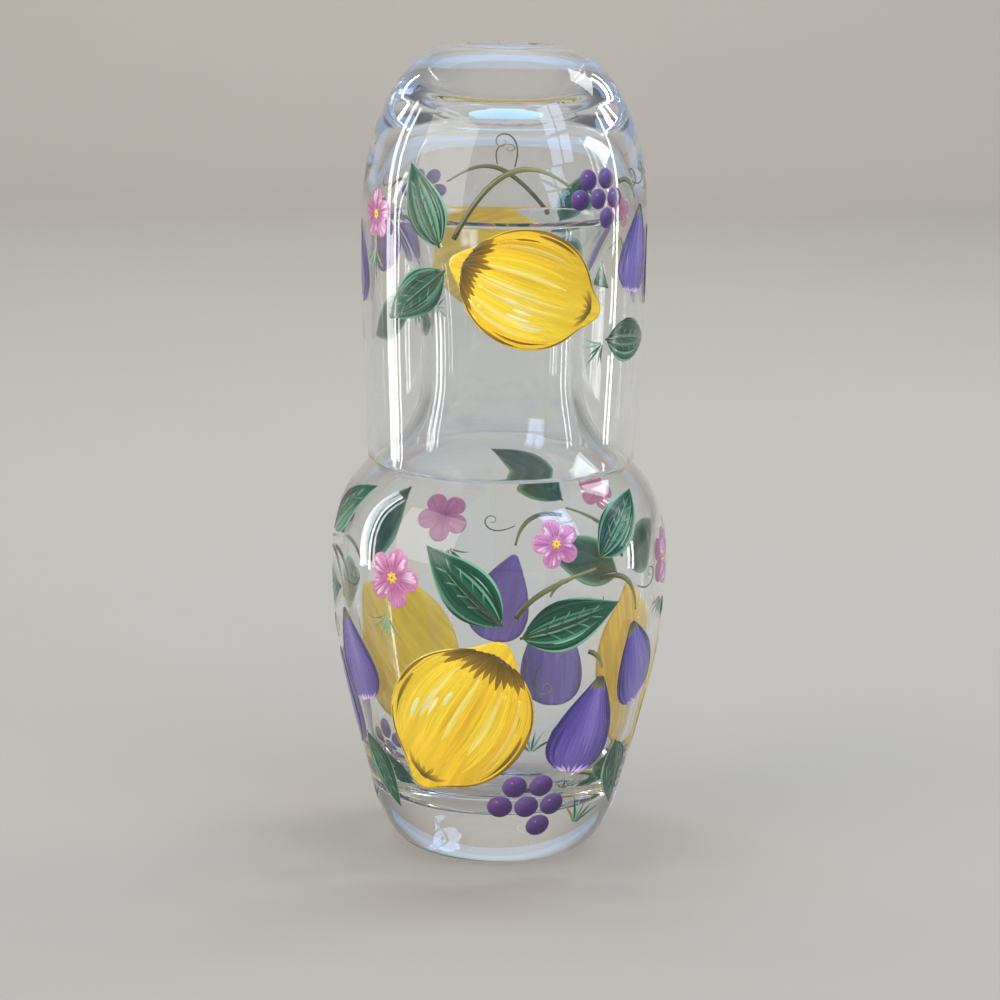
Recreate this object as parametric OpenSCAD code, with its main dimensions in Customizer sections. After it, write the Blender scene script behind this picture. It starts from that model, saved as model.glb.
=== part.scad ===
// Bedside carafe with its drinking tumbler turned over the neck.
// Two clear glasses, each with a fruit garland brushed on in thick enamel.
// Millimetres, +Z up. The origin is the middle of the carafe's foot, on the table.
// The front, where the garlands begin, faces -Y.

/* [Carafe body] */
// Widest diameter of the body
body_d = 88; // [80:1:100]
// Height of the widest place above the table
belly_h = 78.5; // [70:0.5:88]
// Diameter of the foot that the carafe stands on
foot_d = 38; // [30:1:46]
// Width of the ring under the foot that touches the table
foot_ring_w = 3; // [2:0.5:5]
// Rise of the hollow under the foot
punt_h = 1.6; // [0.8:0.1:3]
// Diameter where the round heel runs into the wall
heel_d = 65.5; // [60:0.5:72]
// Height where the round heel runs into the wall
heel_h = 15.5; // [12:0.5:20]
// Height of the ring on the shoulder that the tumbler sits on
shoulder_h = 105; // [96:1:116]
// Thickness of the carafe's wall
carafe_wall = 2.6; // [1.8:0.1:4]
// Thickness of the carafe's base at its middle
carafe_base = 15; // [9:0.5:18]
// Height where the round bottom inside runs into the wall
bowl_h = 34; // [26:0.5:42]

/* [Neck] */
// Outer diameter at the narrowest place
waist_d = 42; // [36:1:50]
// Height of the narrowest place above the shoulder ring
waist_rise = 22; // [18:1:28]
// Height of the lip above the shoulder ring
neck_h = 66; // [54:1:74]
// Room between the lip and the tumbler as the tumbler passes it
lip_clearance = 2.3; // [1:0.1:4]

/* [Tumbler] */
// Outer diameter of the rim
rim_d = 70; // [64:0.5:76]
// Widest diameter of the side
tumbler_d = 73.6; // [70:0.2:80]
// Height from the rim to the base
tumbler_h = 107.5; // [98:0.5:120]
// Depth of the rounded crown between the side and the base
crown_h = 14.5; // [10:0.5:20]
// Inset of the crown's upper edge from the widest place
crown_inset = 5.9; // [4:0.1:9]
// Diameter of the ring that the tumbler stands on when it is the right way up
tumbler_foot_d = 24; // [18:1:34]
// Depth of the dimple inside that ring
dimple_h = 0.7; // [0.4:0.1:1.5]
// Thickness of the tumbler's wall
tumbler_wall = 2.2; // [1.6:0.1:3]
// Thickness of the tumbler's base
tumbler_base = 14.5; // [9:0.5:18]
// Clearance between the rim and the shoulder that it rests on
seat_clearance = 0.3; // [0.2:0.05:0.5]

/* [Enamel] */
// Thickness of the enamel
enamel_t = 0.25; // [0.15:0.05:0.4]
// Bond line between the glass and the enamel
bond_t = 0.02; // [0.02:0.01:0.05]
// Length of a lemon on the carafe
lemon_l = 50; // [44:1:54]
// Width of a lemon on the carafe
lemon_w = 37; // [30:1:40]
// Length of a fig on the carafe
fig_l = 28; // [24:1:30]
// Width of a fig on the carafe
fig_w = 20; // [16:1:22]
// Length of a leaf on the carafe
leaf_l = 27; // [22:1:29]
// Width of a leaf on the carafe
leaf_w = 14; // [10:1:16]
// Diameter of a blossom on the carafe
blossom_d = 16; // [12:1:17]
// Diameter of a berry on the carafe
berry_d = 6.4; // [5:0.2:7]
// Width of a stem on both glasses
stem_w = 1.4; // [1:0.1:2]
// Size of the tumbler's motifs as a share of the carafe's
tumbler_motif_share = 0.82; // [0.7:0.01:0.88]

/* [Hidden] */
$fn = 96;

// Headings of the glass outlines, in degrees from straight outwards
heel_heading = 76;
seat_heading = 143;
lip_heading = 62;
rim_heading = 88;
crown_heading = 116;
inner_crown_heading = 112;
// Length of a curve's end tangents as a share of the straight way between its ends
bend_share = 0.38;
// Points in each curve of an outline, in a rounded edge and in a shallow hollow
curve_steps = 9;
edge_steps = 6;
hollow_steps = 5;

// Flat middle of an inner floor, as a share of the heel's or of the tumbler's diameter
carafe_floor_share = 0.43;
tumbler_floor_share = 0.42;
// Height of the tumbler's widest ring, as a share of its height
tumbler_belly_share = 0.52;
// Where the tumbler's inside turns in, as shares of the way up to its floor and of the crown's inset
inner_crown_share = 0.6;
inner_inset_share = 0.5;

// The ring of contact: the round rim sits on the shoulder's slope
seat_out = sin(seat_heading);
seat_up = -cos(seat_heading);
rim_round = tumbler_wall / 2;
rim_mid_r = rim_d / 2 - rim_round;
seat_r = rim_mid_r - seat_out * (rim_round + seat_clearance);
rim_mid_z = shoulder_h + seat_up * (rim_round + seat_clearance);
rim_z = rim_mid_z - rim_round;
tumbler_top_z = rim_z + tumbler_h;

// The lip clears the narrowest ring inside the tumbler, at its rim or along its side
lip_round = carafe_wall / 2;
lip_d = min(rim_d, tumbler_d) - 2 * tumbler_wall - 2 * lip_clearance;
lip_r = lip_d / 2 - lip_round * (1 - sin(lip_heading));
lip_z = shoulder_h + neck_h - lip_round * (1 + cos(lip_heading));

// A station is [radius, height, heading]
heel_station = [heel_d / 2, heel_h, heel_heading];
carafe_stations = [
    [foot_d / 2, 0, 0],
    heel_station,
    [body_d / 2, belly_h, 90],
    [seat_r, shoulder_h, seat_heading],
    [waist_d / 2, shoulder_h + waist_rise, 90],
    [lip_r, lip_z, lip_heading]
];
tumbler_stations = [
    [rim_d / 2, rim_mid_z, rim_heading],
    [tumbler_d / 2, rim_z + tumbler_belly_share * tumbler_h, 90],
    [tumbler_d / 2 - crown_inset, tumbler_top_z - crown_h, crown_heading],
    [tumbler_foot_d / 2, tumbler_top_z, 180]
];

// Point at share t of the curve from station a to station b
function along(a, b, t) =
    let (p = [a.x, a.y])
    let (s = [b.x, b.y])
    let (reach = bend_share * norm(s - p))
    let (q = p + reach * [cos(a.z), sin(a.z)])
    let (r = s - reach * [cos(b.z), sin(b.z)])
    pow(1 - t, 3) * p + 3 * pow(1 - t, 2) * t * q + 3 * (1 - t) * t * t * r + t * t * t * s;

// Points of the outline through a row of stations
function outline(stations) = [
    for (i = [0 : len(stations) - 2], k = [(i == 0 ? 0 : 1) : curve_steps])
        along(stations[i], stations[i + 1], k / curve_steps)
];

// Unit vector to the right of an outline's way at its point i, which is outwards on these glasses
function side(line, i) =
    let (way = line[min(i + 1, len(line) - 1)] - line[max(i - 1, 0)])
    [way.y, -way.x] / norm(way);

// The outline moved sideways by a distance, outwards if it is positive
function beside(line, distance) = [for (i = [0 : len(line) - 1]) line[i] + distance * side(line, i)];

function backwards(line) = [for (i = [len(line) - 1 : -1 : 0]) line[i]];

// Half circle from a to b, on the left of the way from b to a, without its ends
function round_edge(a, b) =
    let (arm = (a - b) / 2)
    [for (k = [1 : edge_steps - 1])
        let (turn = 180 * k / edge_steps)
        (a + b) / 2 + cos(turn) * arm + sin(turn) * [-arm.y, arm.x]];

// Shallow dish from the axis out to a ring, with its middle shifted along the axis by depth
function dish(ring_r, ring_z, depth) = [
    for (k = [0 : hollow_steps])
        [ring_r * k / hollow_steps, ring_z + depth * (1 - pow(k / hollow_steps, 2))]
];

// Radius of an outline at a height, and the lean of its surface there, measured over a small step
lean_step = enamel_t;
function radius_at(line, z) = lookup(z, [for (p = line) [p.y, p.x]]);
function lean_at(line, z) =
    atan2(radius_at(line, z + lean_step) - radius_at(line, z - lean_step), 2 * lean_step);

carafe_outer = outline(carafe_stations);
carafe_side = [for (i = [curve_steps : len(carafe_outer) - 1]) carafe_outer[i]];
carafe_wall_line = beside(carafe_side, -carafe_wall);
carafe_inner = [for (p = carafe_wall_line) if (p.y > bowl_h) p];
bowl_station = [radius_at(carafe_wall_line, bowl_h), bowl_h, 90 - lean_at(carafe_wall_line, bowl_h)];
carafe_floor = outline([[carafe_floor_share * heel_d / 2, carafe_base, 0], bowl_station]);
carafe_lip = round_edge(carafe_outer[len(carafe_outer) - 1], carafe_inner[len(carafe_inner) - 1]);
carafe_punt = dish(foot_d / 2 - foot_ring_w, 0, punt_h);

tumbler_outer = outline(tumbler_stations);
tumbler_side = [for (i = [0 : curve_steps]) tumbler_outer[i]];
tumbler_inner = beside(tumbler_side, -tumbler_wall);
tumbler_inner_end = tumbler_inner[curve_steps];
tumbler_floor_z = tumbler_top_z - tumbler_base;
tumbler_floor_stations = [
    [tumbler_inner_end.x, tumbler_inner_end.y, 90],
    [tumbler_inner_end.x - inner_inset_share * crown_inset,
     tumbler_inner_end.y + inner_crown_share * (tumbler_floor_z - tumbler_inner_end.y),
     inner_crown_heading],
    [tumbler_floor_share * tumbler_d / 2, tumbler_floor_z, 180]
];
tumbler_floor = outline(tumbler_floor_stations);
tumbler_rim = round_edge(tumbler_inner[0], tumbler_outer[0]);
tumbler_dimple = dish(tumbler_foot_d / 2, tumbler_top_z, -dimple_h);

// One blown piece: foot, heel, body, shoulder, neck and lip
module carafe() {
    color([0.84, 0.90, 0.91, 0.5])
        rotate_extrude()
            polygon(concat(
                carafe_punt, carafe_outer, carafe_lip, backwards(carafe_inner),
                backwards(carafe_floor), [[0, carafe_base]]));
}

// One blown piece, upside down: rim, side, crown and thick base
module tumbler() {
    color([0.84, 0.90, 0.93, 0.5])
        rotate_extrude()
            polygon(concat(
                tumbler_outer, backwards(tumbler_dimple), [[0, tumbler_floor_z]],
                backwards(tumbler_floor), backwards([for (i = [0 : curve_steps - 1]) tumbler_inner[i]]),
                tumbler_rim));
}

// How far a motif's cutting shape stands out past the glass
motif_overrun = 8 * enamel_t;

// Stands a flat shape on the outside of a glass, facing along the surface there
module facing(line, turn, z) {
    depth = radius_at(line, z) / 2;
    rotate([0, 0, turn - 90])
        translate([radius_at(line, z), 0, z])
            rotate([0, lean_at(line, z), 0])
                rotate([90, 0, 90])
                    translate([0, 0, -depth])
                        linear_extrude(depth + motif_overrun)
                            children();
}

// Skin of enamel over the part of a glass that lies within reach of a height
module skin(line, z, reach) {
    run = [for (p = line) if (abs(p.y - z) < reach) p];
    rotate_extrude()
        polygon(concat(beside(run, bond_t), backwards(beside(run, bond_t + enamel_t))));
}

// One brushed motif: the enamel skin inside a flat shape
module brushed(line, turn, z, reach) {
    intersection() {
        skin(line, z, reach);
        facing(line, turn, z) children();
    }
}

// Flat outlines of the motifs, each a closed curve worked out from its length and width
outline_points = 24;
petals = 5;
lemon_points = 40;
nub_share = 0.17;
nub_turn = 13;
fig_neck_share = 0.24;
fig_bulb_share = 0.72;
leaf_base_power = 0.8;
petal_notch_share = 0.6;
petal_power = 0.6;

// A lemon lies along X: an ellipse that swells to a nub at each end
function nub_at(a) =
    let (off = abs(a > 180 ? a - 360 : a))
    exp(-pow(min(off, 180 - off) / nub_turn, 2));
function ellipse_radius(long_r, wide_r, a) = long_r * wide_r / norm([wide_r * cos(a), long_r * sin(a)]);
function lemon_outline(length, width) =
    let (nub_l = nub_share * length / 2)
    [for (k = [0 : lemon_points - 1])
        let (a = 360 * k / lemon_points)
        (ellipse_radius(length / 2 - nub_l, width / 2, a) + nub_l * nub_at(a)) * [cos(a), sin(a)]];

// A fig hangs along -Y from its narrow neck
function fig_outline(length, width) = [
    for (k = [0 : outline_points - 1])
        let (a = 360 * k / outline_points)
        let (fullness = (1 + fig_neck_share) / 2 - (1 - fig_neck_share) / 2 * cos(a))
        [-width / 2 * sin(a) * fullness / fig_bulb_share, length / 2 * cos(a)]
];

// A leaf grows along X from its stalk to its tip
function leaf_edge(length, width, u) = [length * u, width / 2 * sin(180 * pow(u, leaf_base_power))];
function leaf_outline(length, width) = [
    for (k = [0 : outline_points - 1])
        let (u = k * 2 / outline_points)
        let (p = leaf_edge(length, width, u < 1 ? u : 2 - u))
        [p.x, u < 1 ? -p.y : p.y]
];

// A blossom has round petals with a notch between them
function blossom_outline(diameter) = [
    for (k = [0 : 2 * outline_points - 1])
        let (a = 180 * k / outline_points)
        let (r = petal_notch_share + (1 - petal_notch_share) * pow(abs(cos(petals * a / 2)), petal_power))
        diameter / 2 * r * [cos(a), sin(a)]
];

// A stem is a ribbon along a curve with one bend, narrower at its far end
stem_steps = 8;
stem_tip_share = 0.5;
function stem_mid(a, b, c, t) = (1 - t) * (1 - t) * a + 2 * t * (1 - t) * b + t * t * c;
function stem_line(a, b, c) = [for (k = [0 : stem_steps]) stem_mid(a, b, c, k / stem_steps)];
function stem_edge(line, hand) = [
    for (i = [0 : stem_steps])
        line[i] + hand * stem_w / 2 * (1 - (1 - stem_tip_share) * i / stem_steps) * side(line, i)
];
function stem_outline(a, b, c) =
    let (line = stem_line(a, b, c))
    concat(stem_edge(line, 1), backwards(stem_edge(line, -1)));

// A hand never paints two alike: the motif k of the repeat i is turned a little
hand_sway = 4;
repeat_phase = 137;
motif_phase = 71;
function sway(i, k) = hand_sway * sin(repeat_phase * i + motif_phase * k);

// Berries of a bunch, in berry diameters from its middle
bunch_shares = [[-0.55, 0.94], [0.55, 0.94], [-1.08, 0], [0, 0], [1.08, 0], [0.55, -0.94]];

// Places on the carafe: share of a repeat's turn, of the shoulder's height, heading, share of the size
carafe_repeats = 3;
carafe_lemon_shares = [[-0.12, 0.42, 60, 1]];
carafe_fig_shares = [[0.3, 0.395, -10, 1], [0.487, 0.535, 18, 0.9]];
carafe_leaf_shares = [
    [0.008, 0.672, 135, 1], [0.067, 0.64, 10, 1],
    [0.3, 0.825, 40, 0.85], [0.467, 0.325, -70, 0.8]
];
carafe_blossom_shares = [[-0.317, 0.765, 0, 1], [0.165, 0.868, 30, 0.8]];
// A bunch hangs by the lemon: its second share is of the lemon's length, up from the lemon's middle
carafe_bunch_shares = [[0.115, -0.494, 0, 1]];
carafe_stem_shares = [
    [[0.05, 0.69], [0.1, 0.77], [0.285, 0.8]],
    [[0.3, 0.775], [0.43, 0.79], [0.448, 0.675]],
    [[0.27, 0.592], [0.31, 0.585], [0.327, 0.545]]
];

// Places on the tumbler: share of a repeat's turn, of the tumbler's height, heading, share of the size
tumbler_repeats = 2;
tumbler_lemon_shares = [[0.056, 0.465, 160, 1]];
tumbler_fig_shares = [[0.367, 0.54, -12, 1], [0.511, 0.484, 14, 0.95]];
tumbler_leaf_shares = [[-0.146, 0.56, 115, 1], [-0.133, 0.502, 215, 1], [0.256, 0.335, -10, 1]];
tumbler_blossom_shares = [[-0.344, 0.614, 20, 1]];
tumbler_bunch_shares = [[0.222, 0.67, 0, 1]];
tumbler_stem_shares = [
    [[-0.108, 0.58], [0, 0.83], [0.145, 0.7]],
    [[0.29, 0.705], [0.34, 0.72], [0.356, 0.66]]
];

// Height on a glass and turn about it, from a place's shares
function carafe_z(share) = share * shoulder_h;
function tumbler_z(share) = rim_z + share * tumbler_h;
function turn_of(share, repeats, i) = 360 / repeats * (share + i);

// A place's point on the flat shape that faces another place of the same glass
function flat_point(line, p, z, middle, middle_z) =
    [(p - middle) * PI / 180 * radius_at(line, middle_z), (z - middle_z) / cos(lean_at(line, middle_z))];

// Flat shapes of the motifs, at a share of the carafe's sizes
module lemon(size) { polygon(lemon_outline(size * lemon_l, size * lemon_w)); }
module fig(size) { polygon(fig_outline(size * fig_l, size * fig_w)); }
module leaf(size) { polygon(leaf_outline(size * leaf_l, size * leaf_w)); }
module blossom(size) { polygon(blossom_outline(size * blossom_d)); }
module bunch(size) {
    for (b = bunch_shares)
        translate(size * berry_d * b)
            circle(d = size * berry_d);
}

// Heights of the places in a table
function carafe_zs(places) = [for (p = places) carafe_z(p[1])];
function tumbler_zs(places) = [for (p = places) tumbler_z(p[1])];
function bunch_zs(places) = [for (p = places) carafe_z(carafe_lemon_shares[0][1]) + p[1] * lemon_l];

// One motif, brushed on at every place of a table, in every repeat round a glass
module scattered(line, repeats, places, zs, reach) {
    for (i = [0 : repeats - 1], k = [0 : len(places) - 1])
        brushed(line, turn_of(places[k][0], repeats, i), zs[k], reach)
            rotate(places[k][2] + sway(i, k))
                scale(places[k][3])
                    children();
}

module on_carafe(places, zs, reach) {
    scattered(carafe_outer, carafe_repeats, places, zs, reach) children();
}

module on_tumbler(places, zs, reach) {
    scattered(tumbler_outer, tumbler_repeats, places, zs, reach) children();
}

// Stems, each drawn flat where it faces the middle of its own way
module stems(line, repeats, places, zs, reach) {
    for (i = [0 : repeats - 1], k = [0 : len(places) - 1]) {
        turns = [for (p = places[k]) turn_of(p[0], repeats, i)];
        middle = (turns[0] + turns[2]) / 2;
        middle_z = (zs[k][0] + zs[k][2]) / 2;
        ends = [for (j = [0 : 2]) flat_point(line, turns[j], zs[k][j], middle, middle_z)];
        brushed(line, middle, middle_z, reach)
            polygon(stem_outline(ends[0], ends[1], ends[2]));
    }
}

lemon_yellow = [0.97, 0.80, 0.10];
fig_violet = [0.38, 0.28, 0.68];
leaf_green = [0.05, 0.45, 0.30];
stem_olive = [0.25, 0.24, 0.12];
blossom_pink = [0.86, 0.52, 0.68];
berry_purple = [0.24, 0.14, 0.36];

module carafe_lemons() {
    color(lemon_yellow) on_carafe(carafe_lemon_shares, carafe_zs(carafe_lemon_shares), lemon_l) lemon(1);
}

module carafe_figs() {
    color(fig_violet) on_carafe(carafe_fig_shares, carafe_zs(carafe_fig_shares), fig_l) fig(1);
}

module carafe_leaves() {
    color(leaf_green)
        on_carafe(carafe_leaf_shares, carafe_zs(carafe_leaf_shares), leaf_l + leaf_w) leaf(1);
}

module carafe_stems() {
    color(stem_olive)
        stems(carafe_outer, carafe_repeats, carafe_stem_shares,
              [for (s = carafe_stem_shares) carafe_zs(s)], leaf_l);
}

module carafe_blossoms() {
    color(blossom_pink)
        on_carafe(carafe_blossom_shares, carafe_zs(carafe_blossom_shares), blossom_d) blossom(1);
}

module carafe_berries() {
    color(berry_purple)
        on_carafe(carafe_bunch_shares, bunch_zs(carafe_bunch_shares), 3 * berry_d) bunch(1);
}

module tumbler_lemons() {
    color(lemon_yellow)
        on_tumbler(tumbler_lemon_shares, tumbler_zs(tumbler_lemon_shares), lemon_l)
            lemon(tumbler_motif_share);
}

module tumbler_figs() {
    color(fig_violet)
        on_tumbler(tumbler_fig_shares, tumbler_zs(tumbler_fig_shares), fig_l)
            fig(tumbler_motif_share);
}

module tumbler_leaves() {
    color(leaf_green)
        on_tumbler(tumbler_leaf_shares, tumbler_zs(tumbler_leaf_shares), leaf_l + leaf_w)
            leaf(tumbler_motif_share);
}

module tumbler_stems() {
    color(stem_olive)
        stems(tumbler_outer, tumbler_repeats, tumbler_stem_shares,
              [for (s = tumbler_stem_shares) tumbler_zs(s)], lemon_l);
}

module tumbler_blossoms() {
    color(blossom_pink)
        on_tumbler(tumbler_blossom_shares, tumbler_zs(tumbler_blossom_shares), blossom_d)
            blossom(tumbler_motif_share);
}

module tumbler_berries() {
    color(berry_purple)
        on_tumbler(tumbler_bunch_shares, tumbler_zs(tumbler_bunch_shares), 3 * berry_d)
            bunch(tumbler_motif_share);
}

carafe();
tumbler();
carafe_lemons();
carafe_figs();
carafe_leaves();
carafe_stems();
carafe_blossoms();
carafe_berries();
tumbler_lemons();
tumbler_figs();
tumbler_leaves();
tumbler_stems();
tumbler_blossoms();
tumbler_berries();
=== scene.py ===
"""Bedside carafe with its tumbler turned over the neck: blown glass with brushed enamel garlands.

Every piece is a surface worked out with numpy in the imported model's own frame, in metres.
"""
import math
from collections import namedtuple
from functools import partial

import bpy
import numpy as np
from bpy.props import FloatProperty, FloatVectorProperty, PointerProperty
from bpy.types import Operator, Panel, PropertyGroup
from mathutils import Matrix


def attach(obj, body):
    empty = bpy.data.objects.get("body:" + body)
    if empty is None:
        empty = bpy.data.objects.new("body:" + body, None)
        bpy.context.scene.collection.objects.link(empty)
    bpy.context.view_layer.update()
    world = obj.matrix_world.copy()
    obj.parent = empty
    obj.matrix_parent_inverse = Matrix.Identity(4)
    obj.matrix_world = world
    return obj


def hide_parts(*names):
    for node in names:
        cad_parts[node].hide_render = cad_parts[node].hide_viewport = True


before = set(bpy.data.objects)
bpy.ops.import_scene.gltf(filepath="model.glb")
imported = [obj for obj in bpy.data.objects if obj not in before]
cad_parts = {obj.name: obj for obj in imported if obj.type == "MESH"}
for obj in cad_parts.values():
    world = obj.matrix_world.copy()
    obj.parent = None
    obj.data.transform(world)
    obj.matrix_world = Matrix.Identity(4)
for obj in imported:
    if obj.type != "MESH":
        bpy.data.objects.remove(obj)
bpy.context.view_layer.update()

bl_info = {
    "name": "Bedside Carafe",
    "version": (1, 0, 0),
    "blender": (4, 5, 0),
    "location": "View3D > Sidebar > Carafe",
    "description": "Builds a glass bedside carafe and tumbler with brushed enamel garlands",
    "category": "Object",
}

MM = 0.001

# Headings of the glass outlines, in degrees from straight outwards, and the bend of their curves
HEEL_HEADING = 76
SEAT_HEADING = 143
LIP_HEADING = 62
RIM_HEADING = 88
CROWN_HEADING = 116
INNER_CROWN_HEADING = 112
BEND_SHARE = 0.38

# Shares that place the inner floors and the tumbler's widest ring
CARAFE_FLOOR_SHARE = 0.43
TUMBLER_FLOOR_SHARE = 0.42
TUMBLER_BELLY_SHARE = 0.52
INNER_CROWN_SHARE = 0.6
INNER_INSET_SHARE = 0.5

# Fineness of the turned glass
CURVE_STEPS = 26
EDGE_STEPS = 14
HOLLOW_STEPS = 12
TURN_STEPS = 200
AXIS_HOLE = 0.2 * MM

# Fineness of the enamel
BRISTLES = 8
STROKE_STEPS = 20
WASH_RINGS = 16
UNDER_RING_STEP = 2
WASH_SPOKES = 96
BERRY_SPOKES = 48
SLIDE_STEPS = 8

# Garlands: a motif's share of a repeat's turn, height share, heading in degrees and share of the size;
# a stem runs from its first place to its last and bends towards the middle one
CARAFE_REPEATS = 3
CARAFE_MOTIFS = {
    "lemons": [(-0.12, 0.42, 60, 1)],
    "figs": [(0.3, 0.395, -10, 1), (0.487, 0.535, 18, 0.9)],
    "leaves": [
        (0.008, 0.672, 135, 1),
        (0.067, 0.64, 10, 1),
        (0.3, 0.825, 40, 0.85),
        (0.467, 0.325, -70, 0.8),
    ],
    "blossoms": [(-0.317, 0.765, 0, 1), (0.165, 0.868, 30, 0.8)],
    "tendrils": [(0.125, 0.575, -75, 0.8), (0.448, 0.735, 15, 0.8)],
    "sprigs": [(0.335, 0.115, 75, 1), (-0.335, 0.672, 250, 0.8)],
}
CARAFE_STEMS = [
    [(0.05, 0.69), (0.1, 0.77), (0.285, 0.8)],
    [(0.3, 0.775), (0.43, 0.79), (0.448, 0.675)],
    [(0.27, 0.592), (0.31, 0.585), (0.327, 0.545)],
]
TUMBLER_REPEATS = 2
TUMBLER_MOTIFS = {
    "lemons": [(0.056, 0.465, 160, 1)],
    "figs": [(0.367, 0.54, -12, 1), (0.511, 0.484, 14, 0.95)],
    "leaves": [(-0.146, 0.56, 115, 1), (-0.133, 0.502, 215, 1), (0.256, 0.335, -10, 1)],
    "blossoms": [(-0.344, 0.614, 20, 1)],
    "berries": [(0.222, 0.67, 0, 1)],
    "tendrils": [(0.02, 0.745, 115, 1), (0.345, 0.7, 20, 1)],
    "sprigs": [(-0.345, 0.535, 262, 1), (0.245, 0.328, 215, 0.9)],
}
TUMBLER_STEMS = [
    [(-0.108, 0.58), (0, 0.83), (0.145, 0.7)],
    [(0.29, 0.705), (0.34, 0.72), (0.356, 0.66)],
]

# The carafe's bunch: its share of a repeat's turn, and its drop below the lemon as a share of a lemon
CARAFE_BUNCH_TURN = 0.115
CARAFE_BUNCH_DROP = 0.494

# Unsteadiness of the hand, in degrees, and how it changes from repeat to repeat and motif to motif
HAND_SWAY = 4
REPEAT_PHASE = 137
MOTIF_PHASE = 71

# A batch of painted shapes: flat places, heights over the glass, colours and brush coordinates
Dab = namedtuple("Dab", "flat lift tint uv")


def linear(code):
    """Linear colour of a six-digit sRGB code, by the sRGB curve."""
    parts = [int(code[i:i + 2], 16) / 255 for i in (0, 2, 4)]
    return [p / 12.92 if p <= 0.04045 else ((p + 0.055) / 1.055) ** 2.4 for p in parts]


def length(name, description, millimetres):
    """A length property, given in millimetres and kept in metres."""
    return FloatProperty(
        name=name, description=description, default=millimetres * MM, min=0, precision=5, unit="LENGTH"
    )


def colour(name, description, code):
    """A colour property from a six-digit sRGB code."""
    return FloatVectorProperty(
        name=name, description=description, default=linear(code), min=0, max=1, size=3, subtype="COLOR"
    )


class CarafeSizes(PropertyGroup):
    """Sizes of the carafe's glass."""

    body_d: length("Body", "Widest diameter of the body", 88)
    belly_h: length("Belly height", "Height of the widest place", 78.5)
    foot_d: length("Foot", "Diameter of the foot", 38)
    foot_ring_w: length("Foot ring", "Width of the ring that touches the table", 3)
    punt_h: length("Hollow", "Rise of the hollow under the foot", 1.6)
    heel_d: length("Heel", "Diameter where the round heel runs into the wall", 65.5)
    heel_h: length("Heel height", "Height where the round heel runs into the wall", 15.5)
    shoulder_h: length("Shoulder height", "Height of the ring that the tumbler sits on", 105)
    wall: length("Wall", "Thickness of the wall", 2.6)
    base: length("Base", "Thickness of the base", 15)
    bowl_h: length("Bowl height", "Height where the round bottom inside runs into the wall", 34)
    waist_d: length("Waist", "Outer diameter of the neck at its narrowest", 42)
    waist_rise: length("Waist rise", "Height of the waist above the shoulder ring", 22)
    neck_h: length("Neck", "Height of the lip above the shoulder ring", 66)
    lip_clearance: length("Lip clearance", "Room between the lip and the tumbler", 2.3)


class TumblerSizes(PropertyGroup):
    """Sizes of the tumbler's glass."""

    rim_d: length("Rim", "Outer diameter of the rim", 70)
    side_d: length("Side", "Widest diameter of the side", 73.6)
    height: length("Height", "Height from the rim to the base", 107.5)
    crown_h: length("Crown", "Depth of the rounded crown", 14.5)
    crown_inset: length("Crown inset", "Inset of the crown's upper edge", 5.9)
    foot_d: length("Foot", "Diameter of the standing ring", 24)
    dimple_h: length("Dimple", "Depth of the dimple inside that ring", 0.7)
    wall: length("Wall", "Thickness of the wall", 2.2)
    base: length("Base", "Thickness of the base", 14.5)
    seat_clearance: length("Seat clearance", "Clearance between the rim and the shoulder", 0.3)


class EnamelSizes(PropertyGroup):
    """Sizes of the brushed motifs."""

    lemon_l: length("Lemon length", "Length of a lemon on the carafe", 50)
    lemon_w: length("Lemon width", "Width of a lemon on the carafe", 37)
    fig_l: length("Fig length", "Length of a fig on the carafe", 28)
    fig_w: length("Fig width", "Width of a fig on the carafe", 20)
    leaf_l: length("Leaf length", "Length of a leaf on the carafe", 27)
    leaf_w: length("Leaf width", "Width of a leaf on the carafe", 14)
    blossom_d: length("Blossom", "Diameter of a blossom on the carafe", 16)
    berry_d: length("Berry", "Diameter of a berry on the carafe", 6.4)
    stem_w: length("Stem", "Width of a stem", 1.4)
    wash_t: length("Wash", "Thickness of the first coat of enamel", 0.09)
    stroke_t: length("Stroke", "Height of a brush stroke over the first coat", 0.11)
    tumbler_share: FloatProperty(
        name="Tumbler share", description="Size of the tumbler's motifs as a share of the carafe's",
        default=0.82, min=0.5, max=1, subtype="FACTOR",
    )


class EnamelColours(PropertyGroup):
    """Colours of the enamel."""

    yellow: colour("Yellow", "Body colour of a lemon", "FBD430")
    golden: colour("Golden", "Warm streaks of a lemon", "F2B81C")
    cream: colour("Cream", "Highlights of a lemon", "FBEDA6")
    ochre: colour("Ochre", "Shaded edge of a lemon", "A87C14")
    bronze: colour("Bronze", "Dark strokes at a lemon's ends", "5E4A0C")
    violet: colour("Violet", "Body colour of a fig", "624DA3")
    lilac: colour("Lilac", "Pale streaks of a fig", "9A87CC")
    indigo: colour("Indigo", "Edges of a fig", "2E2267")
    emerald: colour("Emerald", "Body colour of a leaf", "0D5839")
    pine: colour("Pine", "Dark strokes of a leaf", "043424")
    mint: colour("Mint", "Pale edge of a leaf", "80BA95")
    olive: colour("Olive", "Stems", "4B4A24")
    moss: colour("Moss", "Pale side of the stems", "8A8B56")
    pink: colour("Pink", "Petals", "CF84AB")
    blush: colour("Blush", "Pale strokes of the petals", "F2CCDD")
    rose: colour("Rose", "Middle of the petals", "B0568A")
    plum: colour("Plum", "Berries", "43265C")
    mauve: colour("Mauve", "Lit side of the berries", "8D6BAA")


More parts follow.
